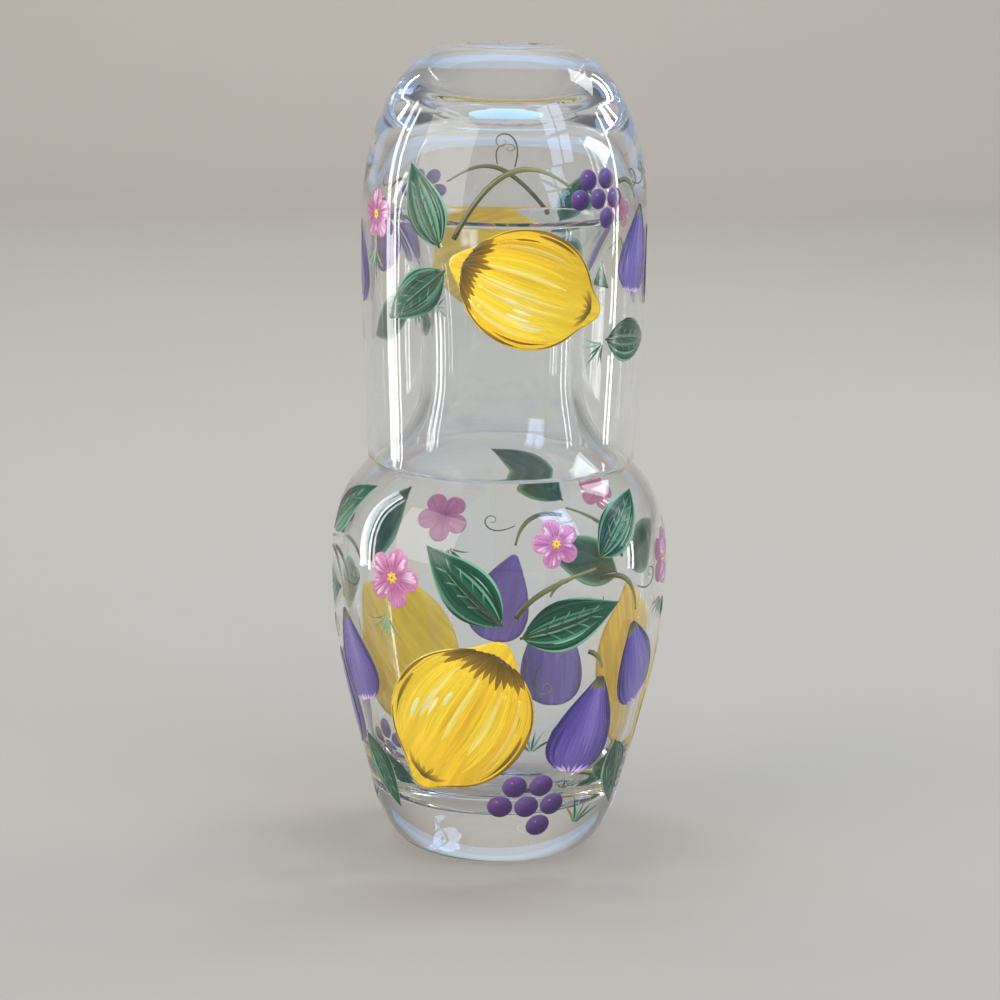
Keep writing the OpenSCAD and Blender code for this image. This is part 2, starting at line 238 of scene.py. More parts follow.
class StageSettings(PropertyGroup):
    """Backdrop, even light and camera."""

    backdrop: colour("Backdrop", "Colour of the floor and the backdrop", "B0A293")
    sky: colour("Sky", "Colour of the even light from all sides", "C4DCFF")
    ambient: FloatProperty(
        name="Ambient", description="Strength of the even light from all sides",
        default=0.5, min=0, max=2,
    )
    camera_far: length("Camera distance", "Distance of the camera in front of the axis", 850)
    camera_high: length("Camera height", "Height of the camera", 283.3)
    camera_pitch: FloatProperty(
        name="Pitch", description="How far the camera looks down",
        default=math.radians(12.6), subtype="ANGLE",
    )
    camera_roll: FloatProperty(
        name="Roll", description="How far the camera leans to its side", default=-0.016, subtype="ANGLE"
    )
    camera_lens: FloatProperty(name="Lens", description="Focal length", default=118.9, unit="CAMERA")


# Outlines of the glasses


def curve(a, b, share):
    """Cubic curve from station a to station b, each a radius, a height and a heading.

    The two inner control points lie along the headings, at BEND_SHARE of the straight way."""
    start, end = np.array(a[:2]), np.array(b[:2])
    reach = BEND_SHARE * np.linalg.norm(end - start)
    leave, arrive = math.radians(a[2]), math.radians(b[2])
    near = start + reach * np.array([math.cos(leave), math.sin(leave)])
    far = end - reach * np.array([math.cos(arrive), math.sin(arrive)])
    t = share[:, None]
    return (1 - t) ** 3 * start + 3 * (1 - t) ** 2 * t * near + 3 * (1 - t) * t**2 * far + t**3 * end


def outline(stations):
    """Curves through a row of stations, as one line of points."""
    share = np.linspace(0, 1, CURVE_STEPS + 1)
    runs = [curve(a, b, share) for a, b in zip(stations, stations[1:])]
    return np.concatenate(runs[:1] + [run[1:] for run in runs[1:]])


def beside(line, distance):
    """The line moved to its right by a distance, square to its own way at each point."""
    way = np.gradient(line, axis=0)
    side = np.stack([way[:, 1], -way[:, 0]], axis=1)
    return line + distance * side / np.linalg.norm(way, axis=1, keepdims=True)


def station_at(line, height):
    """Station of an upward line at a height: its radius there, the height and its heading."""
    heights = line[:, 1]
    lean = np.interp(height, heights, np.gradient(line[:, 0], heights))
    return np.interp(height, heights, line[:, 0]), height, 90 - math.degrees(math.atan(lean))


def round_edge(a, b):
    """Half circle from a to b, on the left of the way from b to a, without its ends."""
    turn = np.linspace(0, math.pi, EDGE_STEPS + 1)[1:-1, None]
    arm = (a - b) / 2
    return (a + b) / 2 + np.cos(turn) * arm + np.sin(turn) * np.array([-arm[1], arm[0]])


def dish(ring_r, ring_z, depth):
    """Parabola from the axis out to a ring, with its middle shifted by depth."""
    share = np.linspace(0, 1, HOLLOW_STEPS + 1)
    return np.stack([ring_r * share, ring_z + depth * (1 - share**2)], axis=1)


class Glass:
    """One glass: its closed profile, and its outside as a function of height."""

    def __init__(self, outer, before, after):
        """outer is the outside from bottom to top; before and after complete the profile to the axis."""
        self.profile = np.concatenate([before, outer, after])
        self.heights = outer[:, 1]
        self.radii = outer[:, 0]
        climb = np.maximum(np.gradient(self.heights), AXIS_HOLE / CURVE_STEPS)
        self.slopes = np.gradient(self.radii) / climb

    def radius(self, z):
        """Outer radius at a height."""
        return np.interp(z, self.heights, self.radii)

    def slope(self, z):
        """Change of the outer radius with height."""
        return np.interp(z, self.heights, self.slopes)


def seat_of(carafe, tumbler):
    """Radius of the shoulder ring that carries the rim, and the height of the rim's round middle."""
    rim_round = tumbler.wall / 2
    gap = rim_round + tumbler.seat_clearance
    heading = math.radians(SEAT_HEADING)
    radius = tumbler.rim_d / 2 - rim_round - math.sin(heading) * gap
    return radius, carafe.shoulder_h - math.cos(heading) * gap


def carafe_glass(carafe, tumbler):
    """The carafe: foot, heel, belly, shoulder, waist and lip outside; wall and round bottom inside."""
    seat_r, _ = seat_of(carafe, tumbler)
    lip_round = carafe.wall / 2
    lip_turn = math.radians(LIP_HEADING)
    lip_d = min(tumbler.rim_d, tumbler.side_d) - 2 * tumbler.wall - 2 * carafe.lip_clearance
    lip_r = lip_d / 2 - lip_round * (1 - math.sin(lip_turn))
    lip_z = carafe.shoulder_h + carafe.neck_h - lip_round * (1 + math.cos(lip_turn))
    outer = outline([
        (carafe.foot_d / 2, 0, 0),
        (carafe.heel_d / 2, carafe.heel_h, HEEL_HEADING),
        (carafe.body_d / 2, carafe.belly_h, 90),
        (seat_r, carafe.shoulder_h, SEAT_HEADING),
        (carafe.waist_d / 2, carafe.shoulder_h + carafe.waist_rise, 90),
        (lip_r, lip_z, LIP_HEADING),
    ])
    wall_line = beside(outer[CURVE_STEPS:], -carafe.wall)
    inner = wall_line[wall_line[:, 1] > carafe.bowl_h]
    floor = outline([
        (CARAFE_FLOOR_SHARE * carafe.heel_d / 2, carafe.base, 0),
        station_at(wall_line, carafe.bowl_h),
    ])
    lip = round_edge(outer[-1], inner[-1])
    flat = dish(floor[0, 0], carafe.base, 0)[:-1]
    punt = dish(carafe.foot_d / 2 - carafe.foot_ring_w, 0, carafe.punt_h)
    return Glass(outer, punt, np.concatenate([lip, inner[::-1], floor[::-1], flat[::-1]]))


def tumbler_glass(carafe, tumbler):
    """The tumbler, upside down: floor and wall inside, rim, side, crown and standing ring outside."""
    _, rim_z = seat_of(carafe, tumbler)
    bottom_z = rim_z - tumbler.wall / 2
    top_z = bottom_z + tumbler.height
    floor_z = top_z - tumbler.base
    outer = outline([
        (tumbler.rim_d / 2, rim_z, RIM_HEADING),
        (tumbler.side_d / 2, bottom_z + TUMBLER_BELLY_SHARE * tumbler.height, 90),
        (tumbler.side_d / 2 - tumbler.crown_inset, top_z - tumbler.crown_h, CROWN_HEADING),
        (tumbler.foot_d / 2, top_z, 180),
    ])
    inner = beside(outer[:CURVE_STEPS + 1], -tumbler.wall)
    turn_r, turn_z = inner[-1]
    crown_r = turn_r - INNER_INSET_SHARE * tumbler.crown_inset
    crown_z = turn_z + INNER_CROWN_SHARE * (floor_z - turn_z)
    floor = outline([
        (turn_r, turn_z, 90),
        (crown_r, crown_z, INNER_CROWN_HEADING),
        (TUMBLER_FLOOR_SHARE * tumbler.side_d / 2, floor_z, 180),
    ])
    flat = dish(floor[-1, 0], floor_z, 0)[:-1]
    rim = round_edge(inner[0], outer[0])
    dimple = dish(tumbler.foot_d / 2, top_z, -tumbler.dimple_h)[:-1]
    return Glass(outer, np.concatenate([flat, floor[::-1], inner[::-1][1:], rim]), dimple[::-1])


# Meshes


def around(count):
    """Angles that part a full turn evenly."""
    return 2 * math.pi * np.arange(count) / count


def tube_quads(rows, spokes):
    """Faces of a closed tube of rows of points: its wall, and each end filled by strips across it."""
    row = np.arange(rows - 1)[:, None] * spokes
    here = np.arange(spokes)[None, :]
    there = (here + 1) % spokes
    wall = np.stack([row + here, row + spokes + here, row + spokes + there, row + there], axis=-1)
    strip = np.arange(spokes // 2 - 1)
    start = np.stack([strip, strip + 1, spokes - 2 - strip, spokes - 1 - strip], axis=-1)
    end = start[:, ::-1] + (rows - 1) * spokes
    return np.concatenate([wall.reshape(-1, 4), start, end])


def new_piece(name, points, quads, material):
    """An object at the origin with these points and four-cornered faces, shaded smooth."""
    mesh = bpy.data.meshes.new(name)
    mesh.vertices.add(len(points))
    mesh.vertices.foreach_set("co", points.astype(np.float32).ravel())
    mesh.loops.add(quads.size)
    mesh.loops.foreach_set("vertex_index", quads.astype(np.int32).ravel())
    mesh.polygons.add(len(quads))
    mesh.polygons.foreach_set("loop_start", np.arange(0, quads.size, 4, dtype=np.int32))
    mesh.update(calc_edges=True)
    mesh.shade_smooth()
    mesh.materials.append(material)
    piece = bpy.data.objects.new(name, mesh)
    bpy.context.scene.collection.objects.link(piece)
    return piece


def turned(name, glass, material):
    """The glass's profile carried once round the upright axis."""
    angle = -around(TURN_STEPS)
    radius = np.maximum(glass.profile[:, :1], AXIS_HOLE)
    height = np.repeat(glass.profile[:, 1:], TURN_STEPS, axis=1)
    points = np.stack([radius * np.sin(angle), -radius * np.cos(angle), height], axis=-1)
    return new_piece(name, points.reshape(-1, 3), tube_quads(len(radius), TURN_STEPS), material)


def lay_on(glass, turn, z, flat, lift):
    """Carries a flat drawing on to the glass where it faces a turn and a height, raised by lift.

    A drawing point slides along the glass's normal at the drawing's middle until its distance from the
    axis is the outline's radius at its height, by Newton's steps on the whole array. Then it moves out
    along the surface's own normal."""
    x, y = flat[..., 0], flat[..., 1]
    lean = math.atan(glass.slope(z))
    out, up = math.cos(lean), math.sin(lean)
    away = glass.radius(z) + y * up
    high = z + y * out
    depth = np.zeros_like(x)
    for _ in range(SLIDE_STEPS):
        ring = away - depth * out
        level = high + depth * up
        span = np.hypot(ring, x)
        rate = out * ring / span + up * glass.slope(level)
        depth = depth + (span - glass.radius(level)) / rate
    level = high + depth * up
    angle = math.radians(turn) + np.arctan2(x, away - depth * out)
    tilt = np.arctan(glass.slope(level))
    reach = glass.radius(level) + lift * np.cos(tilt)
    raised = level - lift * np.sin(tilt)
    return np.stack([reach * np.sin(angle), -reach * np.cos(angle), raised], axis=-1)


def painted(name, layers, material):
    """One piece from laid-on batches of painted shapes, with their colours and brush coordinates."""
    points, quads, tints, uvs = [], [], [], []
    offset = 0
    for place, dab in layers:
        count, rows, spokes = dab.lift.shape
        starts = offset + rows * spokes * np.arange(count)
        quads.append((tube_quads(rows, spokes)[None] + starts[:, None, None]).reshape(-1, 4))
        points.append(place.reshape(-1, 3))
        tints.append(np.broadcast_to(dab.tint, dab.lift.shape + (3,)).reshape(-1, 3))
        uvs.append(dab.uv.reshape(-1, 2))
        offset += dab.lift.size
    quads = np.concatenate(quads)
    piece = new_piece(name, np.concatenate(points), quads, material)
    tint = np.clip(np.concatenate(tints), 0, 1)
    rgba = np.concatenate([tint, np.ones((len(tint), 1))], axis=1)
    layer = piece.data.color_attributes.new("paint", "FLOAT_COLOR", "POINT")
    layer.data.foreach_set("color", rgba.astype(np.float32).ravel())
    brush = piece.data.uv_layers.new(name="brush")
    brush.uv.foreach_set("vector", np.concatenate(uvs)[quads.ravel()].astype(np.float32).ravel())
    return piece


# Brushwork

# How deep enamel bites into the glass, and how deep a stroke sits in the coat under it
BITE = 0.03 * MM
BED_EDGE_SHARE = 0.7
BED_FOOT_SHARE = 0.4

# First coat: its innermost ring, the crowding of its rings and the power that rounds its edge
WASH_HEART_SHARE = 0.02
WASH_CROWDING = 1.3
WASH_EDGE_POWER = 8

# Strokes: shares in which the brush presses on and lifts off, the ridges' share of height and colour, and
# the least length that a step along a path counts as
PRESS_SHARE = 0.35
LIFT_SHARE = 0.5
RIDGE_RISE_SHARE = 0.4
RIDGE_TINT_SHARE = 0.16
LEAST_STEP = 1e-9

# Brush coordinates: their spread over the pattern and the step from stroke to stroke
UV_SPREAD = 99
UV_STROKE_STEP = 7

# Contours run just inside the rim
CONTOUR_SHARE = 0.975

# A brush: half width in millimetres, share of the strokes' height, pressure at a stroke's start and end
Brush = namedtuple("Brush", "half rise begin finish")

# Streaks: count, outermost share of the half width, half width as a share of the spacing, limits of
# start, end and height as shares, and pressure at a streak's start and end
Streaks = namedtuple("Streaks", "count side half start end rise begin finish")

# A tuft: count, outermost share of the half width, start, bow of the row of starts, limits of the end
Tuft = namedtuple("Tuft", "count side start bow end")


def mix(a, b, share):
    """Colour between a and b at a share."""
    return np.asarray(a) + (np.asarray(b) - np.asarray(a)) * np.asarray(share)[..., None]


def smooth(t):
    """Ease from 0 to 1, flat at both ends: three squares less two cubes."""
    t = np.clip(t, 0, 1)
    return t * t * (3 - 2 * t)


def circle(angle):
    """Points of the unit circle at these angles."""
    return np.stack([np.cos(angle), np.sin(angle)], axis=-1)


def column(value, count):
    """One value for each stroke, as a column."""
    return np.broadcast_to(np.asarray(value, float), (count,))[:, None]


def turn_flat(flat, degrees):
    """A flat drawing turned about its own origin."""
    a = math.radians(degrees)
    return flat @ np.array([[math.cos(a), math.sin(a)], [-math.sin(a), math.cos(a)]])


def wash(rim, rise, tint, rng, grain=0):
    """First coat inside a flat rim: rings from the middle out, domed with a round edge, and back under.

    The height is rise times the square root of one less a power of the ring's share. Bristles ran along
    the grain's heading in degrees, or out from the middle where grain is None."""
    share = 1 - (1 - np.linspace(WASH_HEART_SHARE, 1, WASH_RINGS)) ** WASH_CROWDING
    under = share[::-UNDER_RING_STEP]
    rings = np.concatenate([share, under])
    lift = np.concatenate([rise * np.sqrt(1 - share**WASH_EDGE_POWER), np.full(len(under), -BITE)])
    middle = rim.mean(axis=0)
    flat = middle + rings[:, None, None] * (rim - middle)
    lift = np.repeat(lift[:, None], len(rim), axis=1)
    if grain is None:
        spoke = np.linspace(0, math.pi, len(rim)) * np.linalg.norm(rim - middle, axis=1)
        uv = np.stack(np.broadcast_arrays(np.linalg.norm(flat - middle, axis=-1), spoke), axis=-1) / MM
    else:
        uv = turn_flat(flat, -grain) / MM
    uv = uv + rng.uniform(0, UV_SPREAD, 2)
    return Dab(flat[None], lift[None], tint(flat)[None], uv[None])


def strokes(path, half, rise, first, last, rng, bed, begin, finish):
    """Brush strokes along paths: a domed ribbon with bristle ridges, pressed on and lifted off.

    Its half width is half times the pressure, which eases from begin to 1 and down to finish. Its
    height is the pressure times one less the fourth power of the way across. The colour runs from first
    to last along the stroke and varies from bristle to bristle."""
    count, along = path.shape[:2]
    t = np.linspace(0, 1, along)
    pressing = begin + (1 - begin) * smooth(t / PRESS_SHARE)
    lifting = finish + (1 - finish) * smooth((1 - t) / LIFT_SHARE)
    pressure = pressing * lifting
    way = np.gradient(path, axis=1)
    way /= np.maximum(np.linalg.norm(way, axis=-1, keepdims=True), LEAST_STEP)
    left = np.stack([-way[..., 1], way[..., 0]], axis=-1)
    across = np.concatenate([np.linspace(-1, 1, BRISTLES), [1, -1]])
    reach = column(half, count) * pressure
    flat = path[:, :, None] + (reach[..., None] * across)[..., None] * left[:, :, None]
    ridge = rng.uniform(-1, 1, (count, BRISTLES))
    ridge = np.concatenate([ridge, np.zeros((count, 2))], axis=1)[:, None]
    crown = (1 - across**4) * (1 + RIDGE_RISE_SHARE * ridge)
    lift = BED_EDGE_SHARE * bed + (column(rise, count) * pressure)[..., None] * crown
    lift[..., BRISTLES:] = BED_FOOT_SHARE * bed if bed else -BITE
    first = np.broadcast_to(first, (count, 3))[:, None]
    last = np.broadcast_to(last, (count, 3))[:, None]
    run = mix(first, last, smooth(t)[None])
    tint = run[:, :, None] * (1 + RIDGE_TINT_SHARE * ridge[..., None])
    travel = np.cumsum(np.linalg.norm(np.diff(path, axis=1, prepend=path[:, :1]), axis=-1), axis=1)
    u = travel[:, :, None] / MM + rng.uniform(0, UV_SPREAD, (count, 1, 1))
    v = reach[..., None] * across / MM + UV_STROKE_STEP * np.arange(count)[:, None, None]
    return Dab(flat, lift, tint, np.stack(np.broadcast_arrays(u, v), axis=-1))


def brushed(path, brush, first, last, rng, s, sizes, bed=0):
    """Strokes with one of the brushes, at a share s of the carafe's scale."""
    half = brush.half * MM * s
    rise = brush.rise * sizes.stroke_t
    return strokes(path, half, rise, first, last, rng, bed, brush.begin, brush.finish)


def streaked(path, streaks, wide, rise, first, last, rng, bed):
    """Streaks side by side over a width, with their heights drawn between limits."""
    half = wide / streaks.count * streaks.half
    high = rise * rng.uniform(*streaks.rise, streaks.count)
    return strokes(path, half, high, first, last, rng, bed, streaks.begin, streaks.finish)


def bent(a, b, c):
    """Curves with one bend: from a to c, drawn towards b."""
    t = np.linspace(0, 1, STROKE_STEPS)[None, :, None]
    a, b, c = (np.asarray(p, float).reshape(-1, 1, 2) for p in (a, b, c))
    return (1 - t) ** 2 * a + 2 * t * (1 - t) * b + t * t * c


def pick(rng, colours, odds, count):
    """One of these colours for each stroke, by these odds."""
    return np.array(colours)[rng.choice(len(colours), count, p=odds)]


def lengthwise(start, end, side, edge):
    """Strokes along X from start to end that keep a share of the half width that edge gives."""
    t = np.linspace(0, 1, STROKE_STEPS)[None]
    start, end, side = (np.asarray(p, float).reshape(-1, 1) for p in (start, end, side))
    x = start + (end - start) * t
    return np.stack([x, side * edge(x)], axis=-1)


def listed(rows, long, edge):
    """Strokes along X from rows of a share of the half width, a start and an end, in shares of long."""
    side, start, end = np.array(rows).T
    return lengthwise(long * start, long * end, side, edge)


def tufted(tuft, long, edge, rng):
    """Short strokes side by side along X, with ends drawn between two shares of long."""
    side = np.linspace(-tuft.side, tuft.side, tuft.count)
    end = long * rng.uniform(*tuft.end, tuft.count)
    return lengthwise(long * (tuft.start - tuft.bow * side**2), end, side, edge)


def hanging(path):
    """Strokes along X turned so that they run down -Y."""
    return path[..., ::-1] * np.array([1, -1])


def rim_arcs(rim, spans):
    """Arcs just inside a rim, each from one share of the way round to another."""
    t = np.linspace(0, 1, STROKE_STEPS)
    at = np.array([first + (last - first) * t for first, last in spans]) % 1 * len(rim)
    closed = np.concatenate([rim, rim[:1]]) * CONTOUR_SHARE
    ring = np.arange(len(closed))
    return np.stack([np.interp(at, ring, closed[:, 0]), np.interp(at, ring, closed[:, 1])], axis=-1)


# Odds of the three paints that a stroke may take
PAINT_ODDS = [0.4, 0.35, 0.25]

# Lemons: nubs at both ends, the least that the edge's square falls to, streaks and the odds of their
# paints, tufts at stem and tip, arcs of the contour as shares of the way round, and shaded and light
# strokes as rows for listed
NUB_SHARE = 0.17
NUB_TURN = math.radians(13)
LEMON_EDGE_LEAST = 0.004
LEMON_STREAKS = Streaks(22, 0.92, 0.62, (0.6, 0.93), (0.5, 0.93), (0.35, 0.75), 0.5, 0.1)
LEMON_ODDS = [0.55, 0.25, 0.2]
LEMON_STEM = Tuft(13, 0.86, 1.02, 0.1, (0.52, 0.72))
LEMON_TIP = Tuft(6, 0.6, 1.03, 0, (0.74, 0.86))
LEMON_ARCS = [(0.05, 0.3), (0.33, 0.48), (0.53, 0.71), (0.74, 0.95)]
LEMON_SHADES = [
    (-0.97, 0.5, -0.72),
    (-0.9, 0.3, -0.62),
    (-0.8, 0.55, -0.05),
    (0.96, 0.6, -0.25),
    (0.88, 0.35, -0.55),
]
LEMON_LIGHTS = [(0.62, 0.05, -0.45), (0.5, 0.3, -0.32), (0.4, 0.18, -0.24), (0.28, 0.36, 0)]
LEMON_ARC_BRUSH = Brush(0.24, 0.7, 0.3, 0.1)
LEMON_SHADE_BRUSH = Brush(0.55, 0.8, 0.15, 0.1)
LEMON_STEM_BRUSH = Brush(0.85, 1, 0.7, 0.05)
LEMON_TIP_BRUSH = Brush(0.6, 0.8, 0.7, 0.05)
LEMON_LIGHT_BRUSH = Brush(0.75, 0.95, 0.15, 0.1)


def lemon_rim(long, wide):
    """Rim of a lemon along X: an ellipse that swells to a bell-shaped nub at each end."""
    a = around(WASH_SPOKES)
    nub = NUB_SHARE * long / 2
    far, near = long / 2 - nub, wide / 2
    ellipse = far * near / np.hypot(near * np.cos(a), far * np.sin(a))
    off = np.arcsin(np.abs(np.sin(a)))
    r = ellipse + nub * np.exp(-((off / NUB_TURN) ** 2))
    return r[:, None] * circle(a)


def paint_lemon(rng, s, sizes, c):
    """A lemon along X, stem end at +X: a golden wash, streaks, a contour, dark ends and cream lights."""
    long, wide = s * sizes.lemon_l, s * sizes.lemon_w
    belly = long / 2 * (1 - NUB_SHARE)
    bed, rise = sizes.wash_t, sizes.stroke_t
    stroke = partial(brushed, rng=rng, s=s, sizes=sizes, bed=bed)

    def edge(x):
        return wide / 2 * np.sqrt(np.maximum(1 - (x / belly) ** 2, LEMON_EDGE_LEAST))

    def tint(flat):
        low = smooth(0.5 - flat[..., 1] / wide)
        return mix(mix(c.yellow, c.golden, 0.5 * low), c.ochre, 0.25 * smooth((low - 0.75) * 4))

    rim = lemon_rim(long, wide)
    yield wash(rim, bed, tint, rng)
    streaks = LEMON_STREAKS
    side = np.linspace(-streaks.side, streaks.side, streaks.count)
    start = belly * rng.uniform(*streaks.start, streaks.count)
    end = -belly * rng.uniform(*streaks.end, streaks.count)
    paints = [c.yellow, mix(c.yellow, c.golden, 0.6), mix(c.yellow, c.cream, 0.35)]
    shade = pick(rng, paints, LEMON_ODDS, streaks.count)
    shade = mix(shade, c.golden, 0.5 * smooth((-side - 0.3) / 0.6))
    path = lengthwise(start, end, side, edge)
    yield streaked(path, streaks, wide, rise, shade, shade, rng, bed)
    yield stroke(rim_arcs(rim, LEMON_ARCS), LEMON_ARC_BRUSH, c.bronze, c.ochre)
    yield stroke(listed(LEMON_SHADES, belly, edge), LEMON_SHADE_BRUSH, c.ochre, c.bronze)
    yield stroke(tufted(LEMON_STEM, belly, edge, rng), LEMON_STEM_BRUSH, c.bronze, c.ochre)
    yield stroke(tufted(LEMON_TIP, -belly, edge, rng), LEMON_TIP_BRUSH, c.bronze, c.golden)
    yield stroke(listed(LEMON_LIGHTS, belly, edge), LEMON_LIGHT_BRUSH, c.cream, c.cream)


# Figs: shares of the neck and the bulb, streaks, the light's place and breadth across them, tufts at
# neck and eye, grain of the wash in degrees, and dark edge strokes as rows for listed
FIG_NECK_SHARE = 0.24
FIG_BULB_SHARE = 0.72
FIG_STREAKS = Streaks(15, 0.93, 0.62, (0.4, 0.47), (0.36, 0.47), (0.4, 0.85), 0.3, 0.25)
FIG_LIGHT_SIDE = 0.25
FIG_LIGHT_BREADTH = 0.4
FIG_NECK = Tuft(5, 0.7, 0.485, 0, (0.3, 0.38))
FIG_EYE = Tuft(6, 0.8, 0.49, 0, (0.4, 0.44))
FIG_GRAIN = 90
FIG_EDGES = [
    (-0.98, -0.46, 0.4),
    (-0.9, -0.3, 0.44),
    (0.97, -0.46, 0.1),
    (0.86, -0.42, 0.3),
    (-0.74, -0.1, 0.45),
]
FIG_EDGE_BRUSH = Brush(0.42, 0.9, 0.3, 0.1)
FIG_NECK_BRUSH = Brush(0.55, 1, 0.7, 0.05)
FIG_EYE_BRUSH = Brush(0.42, 1, 0.7, 0.1)


def fig_half(y, long, wide):
    """Half width of a fig that hangs along -Y from its neck."""
    fall = np.clip(2 * y / long, -1, 1)
    full = (1 + FIG_NECK_SHARE) / 2 - (1 - FIG_NECK_SHARE) / 2 * fall
    return wide / 2 * np.sqrt(1 - fall**2) * full / FIG_BULB_SHARE


def paint_fig(rng, s, sizes, c):
    """A fig that hangs along -Y: violet streaks from neck to eye, indigo edges and a lilac light."""
    long, wide = s * sizes.fig_l, s * sizes.fig_w
    bed, rise = sizes.wash_t, sizes.stroke_t
    stroke = partial(brushed, rng=rng, s=s, sizes=sizes, bed=bed)
    a = around(WASH_SPOKES)
    y = long / 2 * np.cos(a)
    rim = np.stack([-np.sign(np.sin(a)) * fig_half(y, long, wide), y], axis=1)

    def edge(x):
        return fig_half(-x, long, wide)

    def tint(flat):
        dark = smooth(np.abs(flat[..., 0] + 0.1 * wide) / (0.62 * wide))
        return mix(mix(c.lilac, c.violet, 0.75), c.indigo, 0.8 * dark)

    yield wash(rim, bed, tint, rng, FIG_GRAIN)
    streaks = FIG_STREAKS
    side = np.linspace(-streaks.side, streaks.side, streaks.count)
    start = -long * rng.uniform(*streaks.start, streaks.count)
    end = long * rng.uniform(*streaks.end, streaks.count)
    light = np.exp(-(((side - FIG_LIGHT_SIDE) / FIG_LIGHT_BREADTH) ** 2))
    shade = mix(c.indigo, c.violet, 1 - np.abs(side) ** 3)
    shade = mix(shade, c.lilac, 0.7 * light * rng.uniform(0.3, 1, streaks.count))
    path = hanging(lengthwise(start, end, side, edge))
    yield streaked(path, streaks, wide, rise, shade, shade, rng, bed)
    yield stroke(hanging(listed(FIG_EDGES, long, edge)), FIG_EDGE_BRUSH, c.indigo, c.indigo)
    yield stroke(hanging(tufted(FIG_NECK, -long, edge, rng)), FIG_NECK_BRUSH, c.olive, c.moss)
    yield stroke(hanging(tufted(FIG_EYE, long, edge, rng)), FIG_EYE_BRUSH, c.blush, c.lilac)


# Leaves: thinner first coat, the power that widens the base, streaks and their sway, pairs of veins with
# their first and last root, a vein's knee and tip in lengths from its root and shares of the half width,
# the midrib in lengths and widths, and edge strokes as rows for listed
LEAF_BED_SHARE = 0.8
LEAF_BASE_POWER = 0.8
LEAF_STREAKS = Streaks(17, 0.84, 0.6, (0.03, 0.09), (0.8, 0.98), (0.5, 1), 0.4, 0.1)
LEAF_SWAY = 0.02
LEAF_VEIN_PAIRS = 4
LEAF_VEIN_ROOTS = (0.2, 0.62)
LEAF_VEIN_KNEE = (0.13, 0.25)
LEAF_VEIN_TIP = (0.2, 0.72)
LEAF_RIB = np.array([(-0.02, 0), (0.45, 0.05), (0.93, 0)])
LEAF_EDGES = [(-0.93, 0.12, 0.9), (0.94, 0.1, 0.6), (-0.6, 0.18, 0.72), (0.55, 0.25, 0.95)]
LEAF_EDGE_BRUSH = Brush(0.3, 1, 0.2, 0.1)
LEAF_VEIN_BRUSH = Brush(0.24, 1.15, 0.6, 0.05)
LEAF_RIB_BRUSH = Brush(0.42, 1.3, 0.9, 0.1)


def leaf_half(u, wide):
    """Half width of a leaf at a share of its length: a sine over a power of the share."""
    return wide / 2 * np.sin(math.pi * np.clip(u, 0, 1) ** LEAF_BASE_POWER)


def paint_leaf(rng, s, sizes, c):
    """A leaf along X from stalk to tip: a mint-edged wash, streaks along it, veins and a midrib."""
    long, wide = s * sizes.leaf_l, s * sizes.leaf_w
    bed, rise = sizes.wash_t * LEAF_BED_SHARE, sizes.stroke_t
    stroke = partial(brushed, rng=rng, s=s, sizes=sizes, bed=bed)
    u = 1 - np.abs(np.linspace(-1, 1, WASH_SPOKES, endpoint=False))
    hand = np.where(np.arange(WASH_SPOKES) < WASH_SPOKES // 2, -1, 1)
    rim = np.stack([long * u, hand * leaf_half(u, wide)], axis=1)

    def edge(x):
        return leaf_half(x / long, wide)

    def tint(flat):
        out = np.abs(flat[..., 1]) / np.maximum(edge(flat[..., 0]), 0.5 * MM)
        return mix(mix(c.emerald, c.pine, 0.3), c.mint, 0.85 * smooth((out - 0.72) / 0.25))

    yield wash(rim, bed, tint, rng)
    streaks = LEAF_STREAKS
    sway = rng.uniform(-LEAF_SWAY, LEAF_SWAY, streaks.count)
    side = np.linspace(-streaks.side, streaks.side, streaks.count) + sway
    start = long * rng.uniform(*streaks.start, streaks.count)
    end = long * rng.uniform(*streaks.end, streaks.count)
    shade = pick(rng, [c.emerald, c.pine, mix(c.emerald, c.mint, 0.6)], PAINT_ODDS, streaks.count)
    shade = mix(shade, c.pine, 0.35 * (side > 0.15))
    fade = mix(shade, c.emerald, 0.4)
    path = lengthwise(start, end, side, edge)
    yield streaked(path, streaks, wide, rise, shade, fade, rng, bed)
    shade = np.array([c.mint, c.pine, c.mint, c.pine])
    yield stroke(listed(LEAF_EDGES, long, edge), LEAF_EDGE_BRUSH, shade, shade)
    root = long * np.repeat(np.linspace(*LEAF_VEIN_ROOTS, LEAF_VEIN_PAIRS), 2)
    hand = np.tile([-1.0, 1.0], LEAF_VEIN_PAIRS)
    knee_x, knee_side = LEAF_VEIN_KNEE
    tip_x, tip_side = LEAF_VEIN_TIP
    tip = root + tip_x * long
    start = np.stack([root, np.zeros_like(root)], axis=1)
    knee = np.stack([root + knee_x * long, hand * knee_side * edge(tip)], axis=1)
    end = np.stack([tip, hand * tip_side * edge(tip)], axis=1)
    yield stroke(bent(start, knee, end), LEAF_VEIN_BRUSH, c.pine, c.mint)
    yield stroke(bent(*(LEAF_RIB * [long, wide])), LEAF_RIB_BRUSH, c.olive, c.pine)


